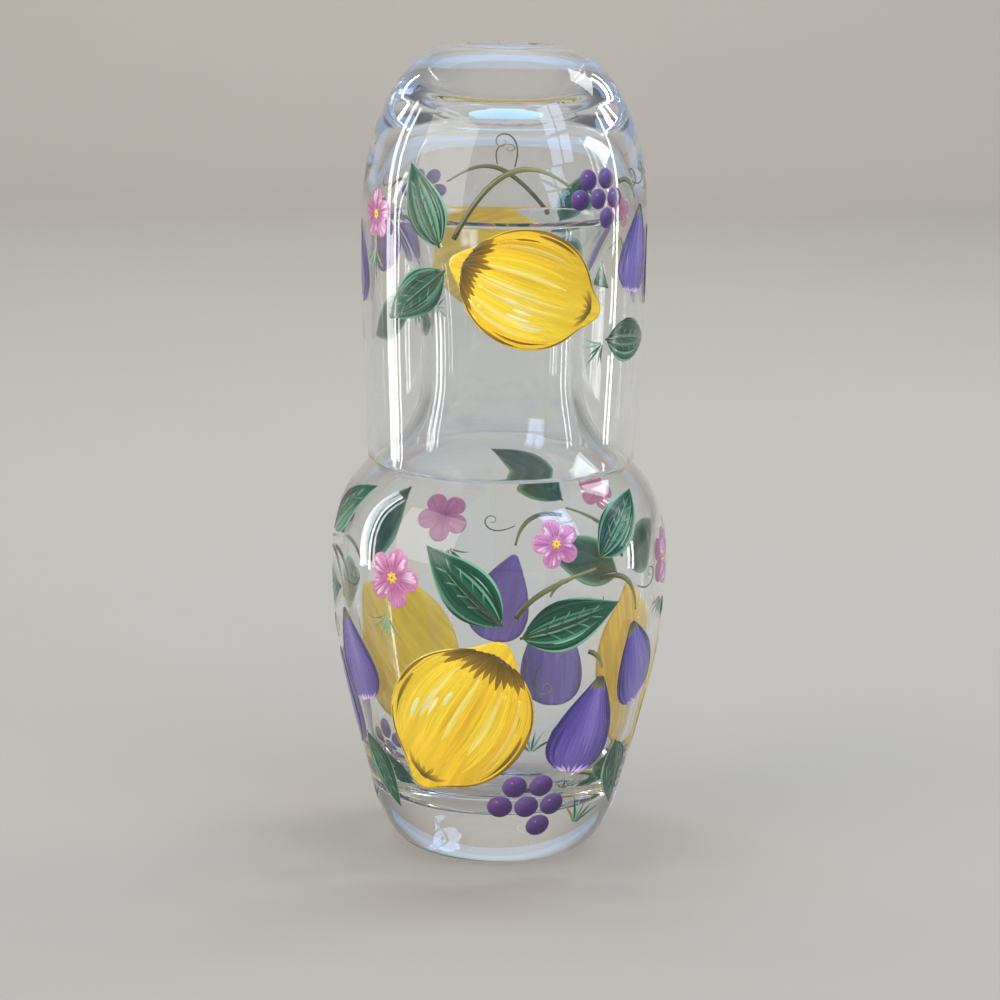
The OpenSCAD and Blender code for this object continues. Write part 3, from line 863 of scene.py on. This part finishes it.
# Blossoms: petals, notches between them, and the fan of strokes on each: half of its angle in radians,
# count, half width in millimetres, limits of length and height, pressure, and its reach, roundness, bend
# and root in half widths of the blossom; then the dots of the eye and where they run, in half widths
PETALS = 5
PETAL_NOTCH_SHARE = 0.6
PETAL_POWER = 0.6
PETAL_FAN = 0.46
PETAL_STROKES = 7
PETAL_STROKE_HALF = 0.62
PETAL_LENGTHS = (0.93, 1)
PETAL_RISES = (0.5, 1)
PETAL_PRESSURE = (0.6, 0.15)
PETAL_REACH = 0.95
PETAL_ROUND = 0.28
PETAL_BEND = 0.55
PETAL_ROOT = 0.2
EYE_DOTS = 7
EYE_REACHES = (0.04, 0.1, 0.2)
EYE_BRUSH = Brush(0.5, 1.3, 0.9, 0.6)


def paint_blossom(rng, s, sizes, c):
    """A blossom of round petals: a pink wash, fans of strokes from the rim inwards, and a dotted eye."""
    half = s * sizes.blossom_d / 2
    bed, rise = sizes.wash_t, sizes.stroke_t
    a = around(WASH_SPOKES)
    lobe = np.abs(np.cos(PETALS * a / 2)) ** PETAL_POWER
    r = half * (PETAL_NOTCH_SHARE + (1 - PETAL_NOTCH_SHARE) * lobe)

    def tint(flat):
        return mix(c.rose, c.pink, smooth(np.linalg.norm(flat, axis=-1) / (0.55 * half)))

    yield wash(r[:, None] * circle(a), bed, tint, rng, None)
    fan = np.linspace(-PETAL_FAN, PETAL_FAN, PETAL_STROKES)
    angle = (around(PETALS)[:, None] + fan).ravel()
    count = len(angle)
    reach = PETAL_REACH - PETAL_ROUND * np.tile(np.abs(fan) / PETAL_FAN, PETALS) ** 2
    start = half * reach * rng.uniform(*PETAL_LENGTHS, count)
    way = circle(angle)
    shade = pick(rng, [c.pink, c.blush, mix(c.pink, c.rose, 0.4)], PAINT_ODDS, count)
    high = rise * rng.uniform(*PETAL_RISES, count)
    path = bent(way * start[:, None], way * half * PETAL_BEND, way * half * PETAL_ROOT)
    yield strokes(path, PETAL_STROKE_HALF * MM * s, high, shade, c.rose, rng, bed, *PETAL_PRESSURE)
    ring = circle(around(EYE_DOTS)) * half
    dots = bent(*(ring * share for share in EYE_REACHES))
    yield brushed(dots, EYE_BRUSH, c.yellow, c.golden, rng, s, sizes, bed)


# Bunches: places of the berries in diameters, height of a dome and of the bed under crescent and dot in
# first coats, the crescent's angles in radians, its distance and the dot's places in half widths of a
# berry, and the heading in degrees and the scale of a dome's grain
BUNCH = [(-0.55, 0.94), (0.55, 0.94), (-1.08, 0), (0, 0), (1.08, 0), (0.55, -0.94)]
DOME_SHARE = 1.8
CRESCENT_BED_SHARE = 1.6
DOT_BED_SHARE = 1.7
CRESCENT_SPAN = (1.7, 3.3)
CRESCENT_SHARE = 0.62
DOT = np.array([(-0.3, 0.4), (-0.24, 0.42), (-0.16, 0.42)])
DOME_GRAIN = 30
DOME_GRAIN_SHARE = 0.3
CRESCENT_BRUSH = Brush(0.5, 0.6, 0.2, 0.2)
DOT_BRUSH = Brush(0.35, 0.6, 0.7, 0.7)


def berry_tint(flat, middle, half, c):
    """Plum, lit with mauve on the upper left."""
    lit = smooth(0.5 + ((flat - middle) @ np.array([-0.35, 0.5])) / half)
    return mix(c.plum, c.mauve, 0.55 * lit**2)


def paint_bunch(rng, s, sizes, c):
    """A bunch of berries: plum domes, each with a mauve crescent and a pale dot."""
    half = s * sizes.berry_d / 2
    coat = sizes.wash_t
    stroke = partial(brushed, rng=rng, s=s, sizes=sizes)
    rim = half * circle(around(BERRY_SPOKES))
    crescent = CRESCENT_SHARE * half * circle(np.linspace(*CRESCENT_SPAN, STROKE_STEPS))
    for share in BUNCH:
        middle = 2 * half * np.array(share)
        tint = partial(berry_tint, middle=middle, half=half, c=c)
        dome = wash(middle + rim, coat * DOME_SHARE, tint, rng, DOME_GRAIN)
        yield dome._replace(uv=dome.uv * DOME_GRAIN_SHARE)
        arc = (middle + crescent)[None]
        yield stroke(arc, CRESCENT_BRUSH, c.mauve, c.plum, bed=coat * CRESCENT_BED_SHARE)
        dot = bent(*(middle + half * DOT))
        yield stroke(dot, DOT_BRUSH, c.blush, c.blush, bed=coat * DOT_BED_SHARE)


# Tendrils: first heading and winding in radians, how much the steps shorten, and length in leaves
TENDRIL_STEPS = 60
TENDRIL_LEAN = -0.7
TENDRIL_WIND = 7.6
TENDRIL_TIGHT = 0.5
TENDRIL_SHARE = 1.1
TENDRIL_BRUSH = Brush(0.26, 1, 0.8, 0.4)


def paint_tendril(rng, s, sizes, c):
    """A tendril from its root along X: its heading winds on with the square of the way."""
    t = np.linspace(0, 1, TENDRIL_STEPS)
    heading = TENDRIL_LEAN + TENDRIL_WIND * t**2
    step = s * TENDRIL_SHARE * sizes.leaf_l / TENDRIL_STEPS * (1 - TENDRIL_TIGHT * t)
    path = np.cumsum(step[:, None] * circle(heading), axis=0)
    yield brushed(path[None], TENDRIL_BRUSH, c.olive, c.moss, rng, s, sizes)


# Sprigs: half of the fan in degrees, blades, length in leaves, sway of the blades in radians, limits of
# their lengths, and where they start and bend, how far they bend back and how far they curl, in lengths
SPRIG_FAN = 48
SPRIG_BLADES = 6
SPRIG_SHARE = 0.42
SPRIG_SWAY = 0.1
SPRIG_LENGTHS = (0.7, 1)
SPRIG_START = 0.1
SPRIG_BEND = 0.5
SPRIG_BACK = 0.2
SPRIG_CURL = 0.15
SPRIG_BRUSH = Brush(0.36, 1, 0.4, 0.1)


def paint_sprig(rng, s, sizes, c):
    """A sprig along X: a fan of thin bent blades from one root."""
    fan = np.radians(np.linspace(-SPRIG_FAN, SPRIG_FAN, SPRIG_BLADES))
    turn = fan + rng.uniform(-SPRIG_SWAY, SPRIG_SWAY, SPRIG_BLADES)
    way = circle(turn)
    side = np.stack([-way[:, 1], way[:, 0]], axis=1) * turn[:, None]
    reach = s * SPRIG_SHARE * sizes.leaf_l * rng.uniform(*SPRIG_LENGTHS, (SPRIG_BLADES, 1))
    knee = SPRIG_BEND * reach * (way - SPRIG_BACK * side)
    path = bent(SPRIG_START * reach * way, knee, reach * (way + SPRIG_CURL * side))
    shade = pick(rng, [c.emerald, c.mint, c.moss], PAINT_ODDS, SPRIG_BLADES)
    yield brushed(path, SPRIG_BRUSH, shade, shade, rng, s, sizes)


MOTIFS = {
    "tendrils": paint_tendril,
    "sprigs": paint_sprig,
    "lemons": paint_lemon,
    "figs": paint_fig,
    "leaves": paint_leaf,
    "blossoms": paint_blossom,
    "berries": paint_bunch,
}

# Stems: pressure at both ends of the stroke, and the shift, width, height and pressure of its pale side
STEM_PRESSURE = (0.9, 0.5)
STEM_LIGHT_SHIFT = 0.3
STEM_LIGHT_HALF = 0.35
STEM_LIGHT_RISE = 0.3
STEM_LIGHT_PRESSURE = (0.3, 0.2)


class Ware:
    """One glass with its garland: shape, span of heights, repeats, stems and places of motifs."""

    def __init__(self, context, body):
        scene = context.scene
        carafe, tumbler = scene.carafe_sizes, scene.tumbler_sizes
        self.sizes = scene.enamel_sizes
        if body == "carafe":
            self.glass = carafe_glass(carafe, tumbler)
            self.bottom = 0
            self.height = carafe.shoulder_h
            self.share = 1
            self.repeats = CARAFE_REPEATS
            self.stems = CARAFE_STEMS
            lemon = self.sizes.lemon_l / carafe.shoulder_h
            bunch = CARAFE_MOTIFS["lemons"][0][1] - CARAFE_BUNCH_DROP * lemon
            self.places = {**CARAFE_MOTIFS, "berries": [(CARAFE_BUNCH_TURN, bunch, 0, 1)]}
        else:
            self.glass = tumbler_glass(carafe, tumbler)
            self.bottom = seat_of(carafe, tumbler)[1] - tumbler.wall / 2
            self.height = tumbler.height
            self.share = self.sizes.tumbler_share
            self.repeats = TUMBLER_REPEATS
            self.stems = TUMBLER_STEMS
            self.places = TUMBLER_MOTIFS

    def z(self, share):
        """Height at a share of the glass's own height."""
        return self.bottom + share * self.height

    def turn(self, share, repeat):
        """Turn in degrees at a share of one repeat."""
        return 360 / self.repeats * (share + repeat)

    def motif_layers(self, kind, colours):
        """Every motif of a kind, drawn flat with its own seed, then turned and laid on the glass."""
        for i in range(self.repeats):
            for k, (share, high, heading, size) in enumerate(self.places[kind]):
                rng = np.random.default_rng([len(kind), i, k, self.repeats])
                sway = HAND_SWAY * math.sin(math.radians(REPEAT_PHASE * i + MOTIF_PHASE * k))
                for dab in MOTIFS[kind](rng, self.share * size, self.sizes, colours):
                    flat = turn_flat(dab.flat, heading + sway)
                    yield lay_on(self.glass, self.turn(share, i), self.z(high), flat, dab.lift), dab

    def stem_layers(self, c):
        """Every stem, then the tendrils and sprigs.

        A stem is an olive stroke along a curve with one bend, and a thin moss stroke along its side."""
        half = self.sizes.stem_w / 2
        rise = self.sizes.wash_t + self.sizes.stroke_t
        light_half = STEM_LIGHT_HALF * half
        light_rise = rise * STEM_LIGHT_RISE
        for i in range(self.repeats):
            for k, places in enumerate(self.stems):
                rng = np.random.default_rng([i, k, self.repeats])
                turns = np.array([self.turn(p[0], i) for p in places])
                levels = np.array([self.z(p[1]) for p in places])
                middle, middle_z = (turns[0] + turns[2]) / 2, (levels[0] + levels[2]) / 2
                lean = math.atan(self.glass.slope(middle_z))
                x = np.radians(turns - middle) * self.glass.radius(middle_z)
                y = (levels - middle_z) / math.cos(lean)
                path = bent(*np.stack([x, y], axis=1))
                side = path + [0, STEM_LIGHT_SHIFT * half]
                stem = strokes(path, half, rise, c.olive, c.moss, rng, 0, *STEM_PRESSURE)
                light = strokes(side, light_half, light_rise, c.moss, c.moss, rng, rise,
                                *STEM_LIGHT_PRESSURE)
                for dab in (stem, light):
                    yield lay_on(self.glass, middle, middle_z, dab.flat, dab.lift), dab
        yield from self.motif_layers("tendrils", c)
        yield from self.motif_layers("sprigs", c)


# Materials


def new_material(name):
    """A node material with only its output, as the material, its tree and the output."""
    material = bpy.data.materials.new(name)
    material.use_nodes = True
    tree = material.node_tree
    tree.nodes.clear()
    return material, tree, tree.nodes.new("ShaderNodeOutputMaterial")


def add(tree, kind, **settings):
    """A node of a kind. A setting that isn't the node's own attribute goes to the input of that name."""
    node = tree.nodes.new("ShaderNode" + kind)
    for name, value in settings.items():
        if hasattr(node, name):
            setattr(node, name, value)
        else:
            node.inputs[name.replace("_", " ")].default_value = value
    return node


def stretch(tree, source, low, high, least, most):
    """A value carried from the span low to high on to the span least to most."""
    span = add(tree, "MapRange")
    for socket, value in zip(span.inputs[1:5], (low, high, least, most)):
        socket.default_value = value
    tree.links.new(source, span.inputs[0])
    return span.outputs[0]


def clear_glass():
    """Clear blown glass: faint smears in its polish and a slow wave in its surface.

    Light of the lamps and from matt surfaces passes straight through it, and is dimmed at a slant."""
    material, tree, output = new_material("clear_blown_glass")
    link = tree.links.new
    place = add(tree, "TexCoord").outputs["Object"]
    smear = add(tree, "TexNoise", Scale=38, Detail=4)
    wave = add(tree, "TexNoise", Scale=30, Detail=1)
    link(place, smear.inputs["Vector"])
    link(place, wave.inputs["Vector"])
    bump = add(tree, "Bump", Strength=0.08, Distance=0.0015)
    link(wave.outputs["Fac"], bump.inputs["Height"])
    glass = add(
        tree, "BsdfPrincipled", Base_Color=(0.97, 0.985, 0.99, 1), IOR=1.5, Transmission_Weight=1
    )
    link(stretch(tree, smear.outputs["Fac"], 0.45, 0.75, 0.0, 0.05), glass.inputs["Roughness"])
    link(bump.outputs["Normal"], glass.inputs["Normal"])
    shade = add(tree, "BsdfTransparent")
    slant = add(tree, "LayerWeight", Blend=0.5).outputs["Facing"]
    link(stretch(tree, slant, 0.5, 1.0, 0.97, 0.5), shade.inputs["Color"])
    path = add(tree, "LightPath")
    surface = glass.outputs[0]
    for ray in ("Is Shadow Ray", "Is Diffuse Ray"):
        choose = add(tree, "MixShader")
        link(path.outputs[ray], choose.inputs[0])
        link(surface, choose.inputs[1])
        link(shade.outputs[0], choose.inputs[2])
        surface = choose.outputs[0]
    link(surface, output.inputs["Surface"])
    return material


def brushed_enamel(name):
    """Glossy enamel in the piece's own paint colours, with bristle streaks along each stroke."""
    material, tree, output = new_material(name)
    link = tree.links.new
    brush = add(tree, "UVMap", uv_map="brush")
    along = add(tree, "Mapping", Scale=(0.045, 0.45, 1))
    streak = add(tree, "TexNoise", Scale=1, Detail=5, Roughness=0.62)
    link(brush.outputs["UV"], along.inputs["Vector"])
    link(along.outputs["Vector"], streak.inputs["Vector"])
    paint = add(tree, "Attribute", attribute_name="paint")
    vary = add(tree, "HueSaturation")
    link(stretch(tree, streak.outputs["Fac"], 0.32, 0.68, 0.8, 1.14), vary.inputs["Value"])
    link(paint.outputs["Color"], vary.inputs["Color"])
    bump = add(tree, "Bump", Strength=0.3, Distance=0.0001)
    link(streak.outputs["Fac"], bump.inputs["Height"])
    enamel = add(tree, "BsdfPrincipled", Coat_Weight=0.5, Coat_Roughness=0.06, IOR=1.5)
    link(vary.outputs["Color"], enamel.inputs["Base Color"])
    link(stretch(tree, streak.outputs["Fac"], 0.3, 0.7, 0.16, 0.36), enamel.inputs["Roughness"])
    link(bump.outputs["Normal"], enamel.inputs["Normal"])
    link(enamel.outputs[0], output.inputs["Surface"])
    return material


def matt_paper(backdrop):
    """Matt studio paper in one pale colour, with a faint mottle."""
    material, tree, output = new_material("matt_studio_paper")
    link = tree.links.new
    grain = add(tree, "TexNoise", Scale=6, Detail=2)
    link(add(tree, "TexCoord").outputs["Object"], grain.inputs["Vector"])
    paper = add(tree, "BsdfPrincipled", Roughness=0.9, Specular_IOR_Level=0.1)
    vary = add(tree, "HueSaturation", Color=(*backdrop, 1))
    link(stretch(tree, grain.outputs["Fac"], 0.3, 0.7, 0.99, 1.01), vary.inputs["Value"])
    link(vary.outputs["Color"], paper.inputs["Base Color"])
    link(paper.outputs[0], output.inputs["Surface"])
    return material


# Operators


def settle(piece, body, node):
    """The piece rides on its body and stands for its node, whose imported part is hidden."""
    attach(piece, body)
    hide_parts(node)


def turn_glass(context, body):
    """Turns one glass. Both glasses share one material."""
    material = bpy.data.materials.get("clear_blown_glass") or clear_glass()
    settle(turned(body + "_glass", Ware(context, body).glass, material), body, body)
    return {"FINISHED"}


def brush_on(context, kind, slot):
    """Paints one kind of motif on both glasses, one piece for each glass."""
    colours = context.scene.enamel_colours
    paint = {name: np.array(getattr(colours, name)) for name in EnamelColours.__annotations__}
    palette = namedtuple("Palette", paint)(**paint)
    material = brushed_enamel("brushed_" + slot)
    for body in ("carafe", "tumbler"):
        ware = Ware(context, body)
        layers = ware.stem_layers(palette) if kind == "stems" else ware.motif_layers(kind, palette)
        node = body + "_" + kind
        settle(painted(node + "_enamel", layers, material), body, node)
    return {"FINISHED"}


class CARAFE_OT_turn_carafe(Operator):
    """Turn the carafe's glass: foot, belly, shoulder, pinched neck and lip"""

    bl_idname = "carafe.turn_carafe"
    bl_label = "Carafe Glass"

    def execute(self, context):
        return turn_glass(context, "carafe")


class CARAFE_OT_turn_tumbler(Operator):
    """Turn the tumbler's glass, upside down over the neck"""

    bl_idname = "carafe.turn_tumbler"
    bl_label = "Tumbler Glass"

    def execute(self, context):
        return turn_glass(context, "tumbler")


class CARAFE_OT_paint_lemons(Operator):
    """Brush the lemons on both glasses"""

    bl_idname = "carafe.paint_lemons"
    bl_label = "Lemons"

    def execute(self, context):
        return brush_on(context, "lemons", "yellow_enamel")


class CARAFE_OT_paint_figs(Operator):
    """Brush the figs on both glasses"""

    bl_idname = "carafe.paint_figs"
    bl_label = "Figs"

    def execute(self, context):
        return brush_on(context, "figs", "violet_enamel")


class CARAFE_OT_paint_leaves(Operator):
    """Brush the leaves on both glasses"""

    bl_idname = "carafe.paint_leaves"
    bl_label = "Leaves"

    def execute(self, context):
        return brush_on(context, "leaves", "green_enamel")


class CARAFE_OT_paint_stems(Operator):
    """Brush the stems, tendrils and sprigs on both glasses"""

    bl_idname = "carafe.paint_stems"
    bl_label = "Stems"

    def execute(self, context):
        return brush_on(context, "stems", "olive_enamel")


class CARAFE_OT_paint_blossoms(Operator):
    """Brush the blossoms on both glasses"""

    bl_idname = "carafe.paint_blossoms"
    bl_label = "Blossoms"

    def execute(self, context):
        return brush_on(context, "blossoms", "pink_enamel")


class CARAFE_OT_paint_berries(Operator):
    """Dot the berries on both glasses"""

    bl_idname = "carafe.paint_berries"
    bl_label = "Berries"

    def execute(self, context):
        return brush_on(context, "berries", "berry_enamel")


# Sweep of paper, in metres
PAPER_HALF = 5.0
PAPER_FRONT = -6.0
PAPER_BACK = 1.3
PAPER_BEND = 0.6
PAPER_HIGH = 2.6
PAPER_STEPS = 24

# Lamps: name, place, aim, width, height, watts and colour
AIM = (0, 0, 0.11)
LAMPS = [
    ("left_strip", (-0.385, 0.03, 0.21), (0, 0, 0.21), 0.014, 0.4, 0.32, (1, 1, 1)),
    ("left_soft_strip", (-0.375, 0.085, 0.21), (0, 0, 0.21), 0.03, 0.4, 0.32, (1, 1, 1)),
    ("right_strip", (0.42, 0.07, 0.21), (0, 0, 0.21), 0.018, 0.4, 0.32, (1, 1, 1)),
    ("sky_band", (0.0, 1.2, 0.56), (0, 0, 0.2), 3.0, 0.1, 0.33, (0.2, 0.52, 1)),
    ("sky_glow", (0.0, 1.2, 0.56), (0, 0, 0.2), 3.0, 0.3, 0.6, (0.2, 0.5, 1)),
    ("sky_strip", (0.0, 0.5, 0.85), AIM, 1.0, 0.3, 0.9, (0.25, 0.6, 1)),
    ("back_right", (0.75, 0.45, 0.95), AIM, 0.34, 0.34, 2.4, (0.9, 0.96, 1)),
    ("overhead", (0.0, 0.05, 1.15), AIM, 1.2, 1.0, 6.5, (0.6, 0.8, 1)),
    ("front_left", (-1.5, -1.1, 0.8), AIM, 1.6, 1.6, 23, (1, 0.94, 0.85)),
    ("front_fill", (0.35, -1.75, 0.75), AIM, 1.4, 0.7, 11.5, (1, 0.97, 0.93)),
    ("backdrop", (0.0, 0.5, 1.7), (0, 2.2, 0.3), 1.6, 0.4, 27, (0.8, 0.93, 1)),
]

# Lamps that light the set but that no glass shows, one that shows on glass but not through it,
# and lamps that only gloss and glass show
UNSEEN_LAMPS = ("overhead", "front_fill", "backdrop")
SURFACE_LAMPS = ("front_left",)
STREAK_LAMPS = ("left_strip", "left_soft_strip", "right_strip", "sky_band", "sky_glow")

# Window on the right: its place, its panes in steps from the middle, and the size of a pane and a step
WINDOW_PLACE = (1.0, -0.84, 1.0)
WINDOW_PANES = [(-0.5, -0.5), (0.5, -0.5), (-0.5, 0.5), (0.5, 0.5)]
WINDOW_PANE = (0.24, 0.4)
WINDOW_STEP = (0.28, 0.45)
WINDOW_WATTS = 1.9
WINDOW_COLOUR = (0.55, 0.68, 1)

# Bounces that thick glass needs, and clear layers that a lamp's light may pass
GLASS_BOUNCES = 64
CLEAR_LAYERS = 24


def look_at(place, aim):
    """World matrix of a lamp at a place, pointing its -Z at the aim with its Y upwards."""
    place, aim = np.array(place), np.array(aim)
    back = (place - aim) / np.linalg.norm(place - aim)
    right = np.cross((0, 0, 1), back)
    right /= np.linalg.norm(right)
    matrix = np.eye(4)
    matrix[:3, :4] = np.stack([right, np.cross(back, right), back, place], axis=1)
    return Matrix(matrix.tolist())


def softbox(name, matrix, wide, high, watts, tone):
    """A rectangular lamp that the camera never sees. Its name decides which other rays see it."""
    data = bpy.data.lights.new(name, "AREA")
    data.shape = "RECTANGLE"
    data.size = wide
    data.size_y = high
    data.energy = watts
    data.color = tone
    lamp = bpy.data.objects.new(name, data)
    lamp.matrix_world = matrix
    lamp.visible_camera = False
    lamp.visible_glossy = name not in UNSEEN_LAMPS
    lamp.visible_transmission = name not in UNSEEN_LAMPS + SURFACE_LAMPS
    lamp.visible_diffuse = name not in STREAK_LAMPS
    bpy.context.scene.collection.objects.link(lamp)


def paper_sweep(material):
    """Floor and backdrop: back along the floor, up a quarter circle and on up, carried sideways."""
    bend = np.linspace(0, math.pi / 2, PAPER_STEPS)
    far = PAPER_BACK + PAPER_BEND
    y = np.concatenate([[PAPER_FRONT], PAPER_BACK + PAPER_BEND * np.sin(bend), [far]])
    z = np.concatenate([[0], PAPER_BEND * (1 - np.cos(bend)), [PAPER_HIGH]])
    x = np.array([-PAPER_HALF, PAPER_HALF])
    points = np.stack(np.broadcast_arrays(x[None], y[:, None], z[:, None]), axis=-1).reshape(-1, 3)
    step = 2 * np.arange(len(y) - 1)
    quads = np.stack([step, step + 1, step + 3, step + 2], axis=1)
    paper = new_piece("paper_sweep", points, quads, material)


def even_light(scene, stage):
    """The world: one colour from all sides."""
    world = bpy.data.worlds.new("even_light")
    world.use_nodes = True
    even = world.node_tree.nodes["Background"]
    even.inputs["Color"].default_value = (*stage.sky, 1)
    even.inputs["Strength"].default_value = stage.ambient
    scene.world = world


def hang_lamps():
    """The lamps and the window's panes."""
    for name, place, aim, wide, high, watts, tone in LAMPS:
        softbox(name, look_at(place, aim), wide, high, watts, tone)
    window = look_at(WINDOW_PLACE, AIM)
    for i, (across, up) in enumerate(WINDOW_PANES):
        shift = Matrix.Translation((across * WINDOW_STEP[0], up * WINDOW_STEP[1], 0))
        softbox(f"window_pane_{i}", window @ shift, *WINDOW_PANE, WINDOW_WATTS, WINDOW_COLOUR)


def place_camera(scene, stage):
    """The camera in front of the set, pitched down and leant to its side."""
    data = bpy.data.cameras.new("camera")
    data.lens = stage.camera_lens
    camera = bpy.data.objects.new("camera", data)
    place = Matrix.Translation((0, -stage.camera_far, stage.camera_high))
    pitch = Matrix.Rotation(math.pi / 2 - stage.camera_pitch, 4, "X")
    camera.matrix_world = place @ pitch @ Matrix.Rotation(-stage.camera_roll, 4, "Z")
    scene.collection.objects.link(camera)
    scene.camera = camera


class CARAFE_OT_set_stage(Operator):
    """Set the paper sweep, the lamps and the camera"""

    bl_idname = "carafe.set_stage"
    bl_label = "Stage"

    def execute(self, context):
        scene = context.scene
        stage = scene.carafe_stage
        scene.view_settings.view_transform = "Standard"
        scene.cycles.max_bounces = GLASS_BOUNCES
        scene.cycles.glossy_bounces = GLASS_BOUNCES
        scene.cycles.transmission_bounces = GLASS_BOUNCES
        scene.cycles.transparent_max_bounces = CLEAR_LAYERS
        paper_sweep(matt_paper(stage.backdrop))
        even_light(scene, stage)
        hang_lamps()
        place_camera(scene, stage)
        return {"FINISHED"}


MAKERS = (
    CARAFE_OT_turn_carafe,
    CARAFE_OT_turn_tumbler,
    CARAFE_OT_paint_lemons,
    CARAFE_OT_paint_figs,
    CARAFE_OT_paint_leaves,
    CARAFE_OT_paint_stems,
    CARAFE_OT_paint_blossoms,
    CARAFE_OT_paint_berries,
    CARAFE_OT_set_stage,
)


class CARAFE_PT_sidebar(Panel):
    """The carafe's pieces in the order of making"""

    bl_idname = "CARAFE_PT_sidebar"
    bl_label = "Bedside Carafe"
    bl_space_type = "VIEW_3D"
    bl_region_type = "UI"
    bl_category = "Carafe"

    def draw(self, context):
        for maker in MAKERS:
            self.layout.operator(maker.bl_idname)


GROUPS = {
    "carafe_sizes": CarafeSizes,
    "tumbler_sizes": TumblerSizes,
    "enamel_sizes": EnamelSizes,
    "enamel_colours": EnamelColours,
    "carafe_stage": StageSettings,
}


def register():
    """Registers the property groups, the operators and the panel."""
    for name, group in GROUPS.items():
        bpy.utils.register_class(group)
        setattr(bpy.types.Scene, name, PointerProperty(type=group))
    for maker in MAKERS + (CARAFE_PT_sidebar,):
        bpy.utils.register_class(maker)


def unregister():
    """Undoes register."""
    for maker in reversed(MAKERS + (CARAFE_PT_sidebar,)):
        bpy.utils.unregister_class(maker)
    for name, group in reversed(GROUPS.items()):
        delattr(bpy.types.Scene, name)
        bpy.utils.unregister_class(group)


def main():
    """Builds every piece in order."""
    register()
    bpy.ops.carafe.turn_carafe()
    bpy.ops.carafe.turn_tumbler()
    bpy.ops.carafe.paint_lemons()
    bpy.ops.carafe.paint_figs()
    bpy.ops.carafe.paint_leaves()
    bpy.ops.carafe.paint_stems()
    bpy.ops.carafe.paint_blossoms()
    bpy.ops.carafe.paint_berries()
    bpy.ops.carafe.set_stage()


if __name__ == "__main__":
    main()
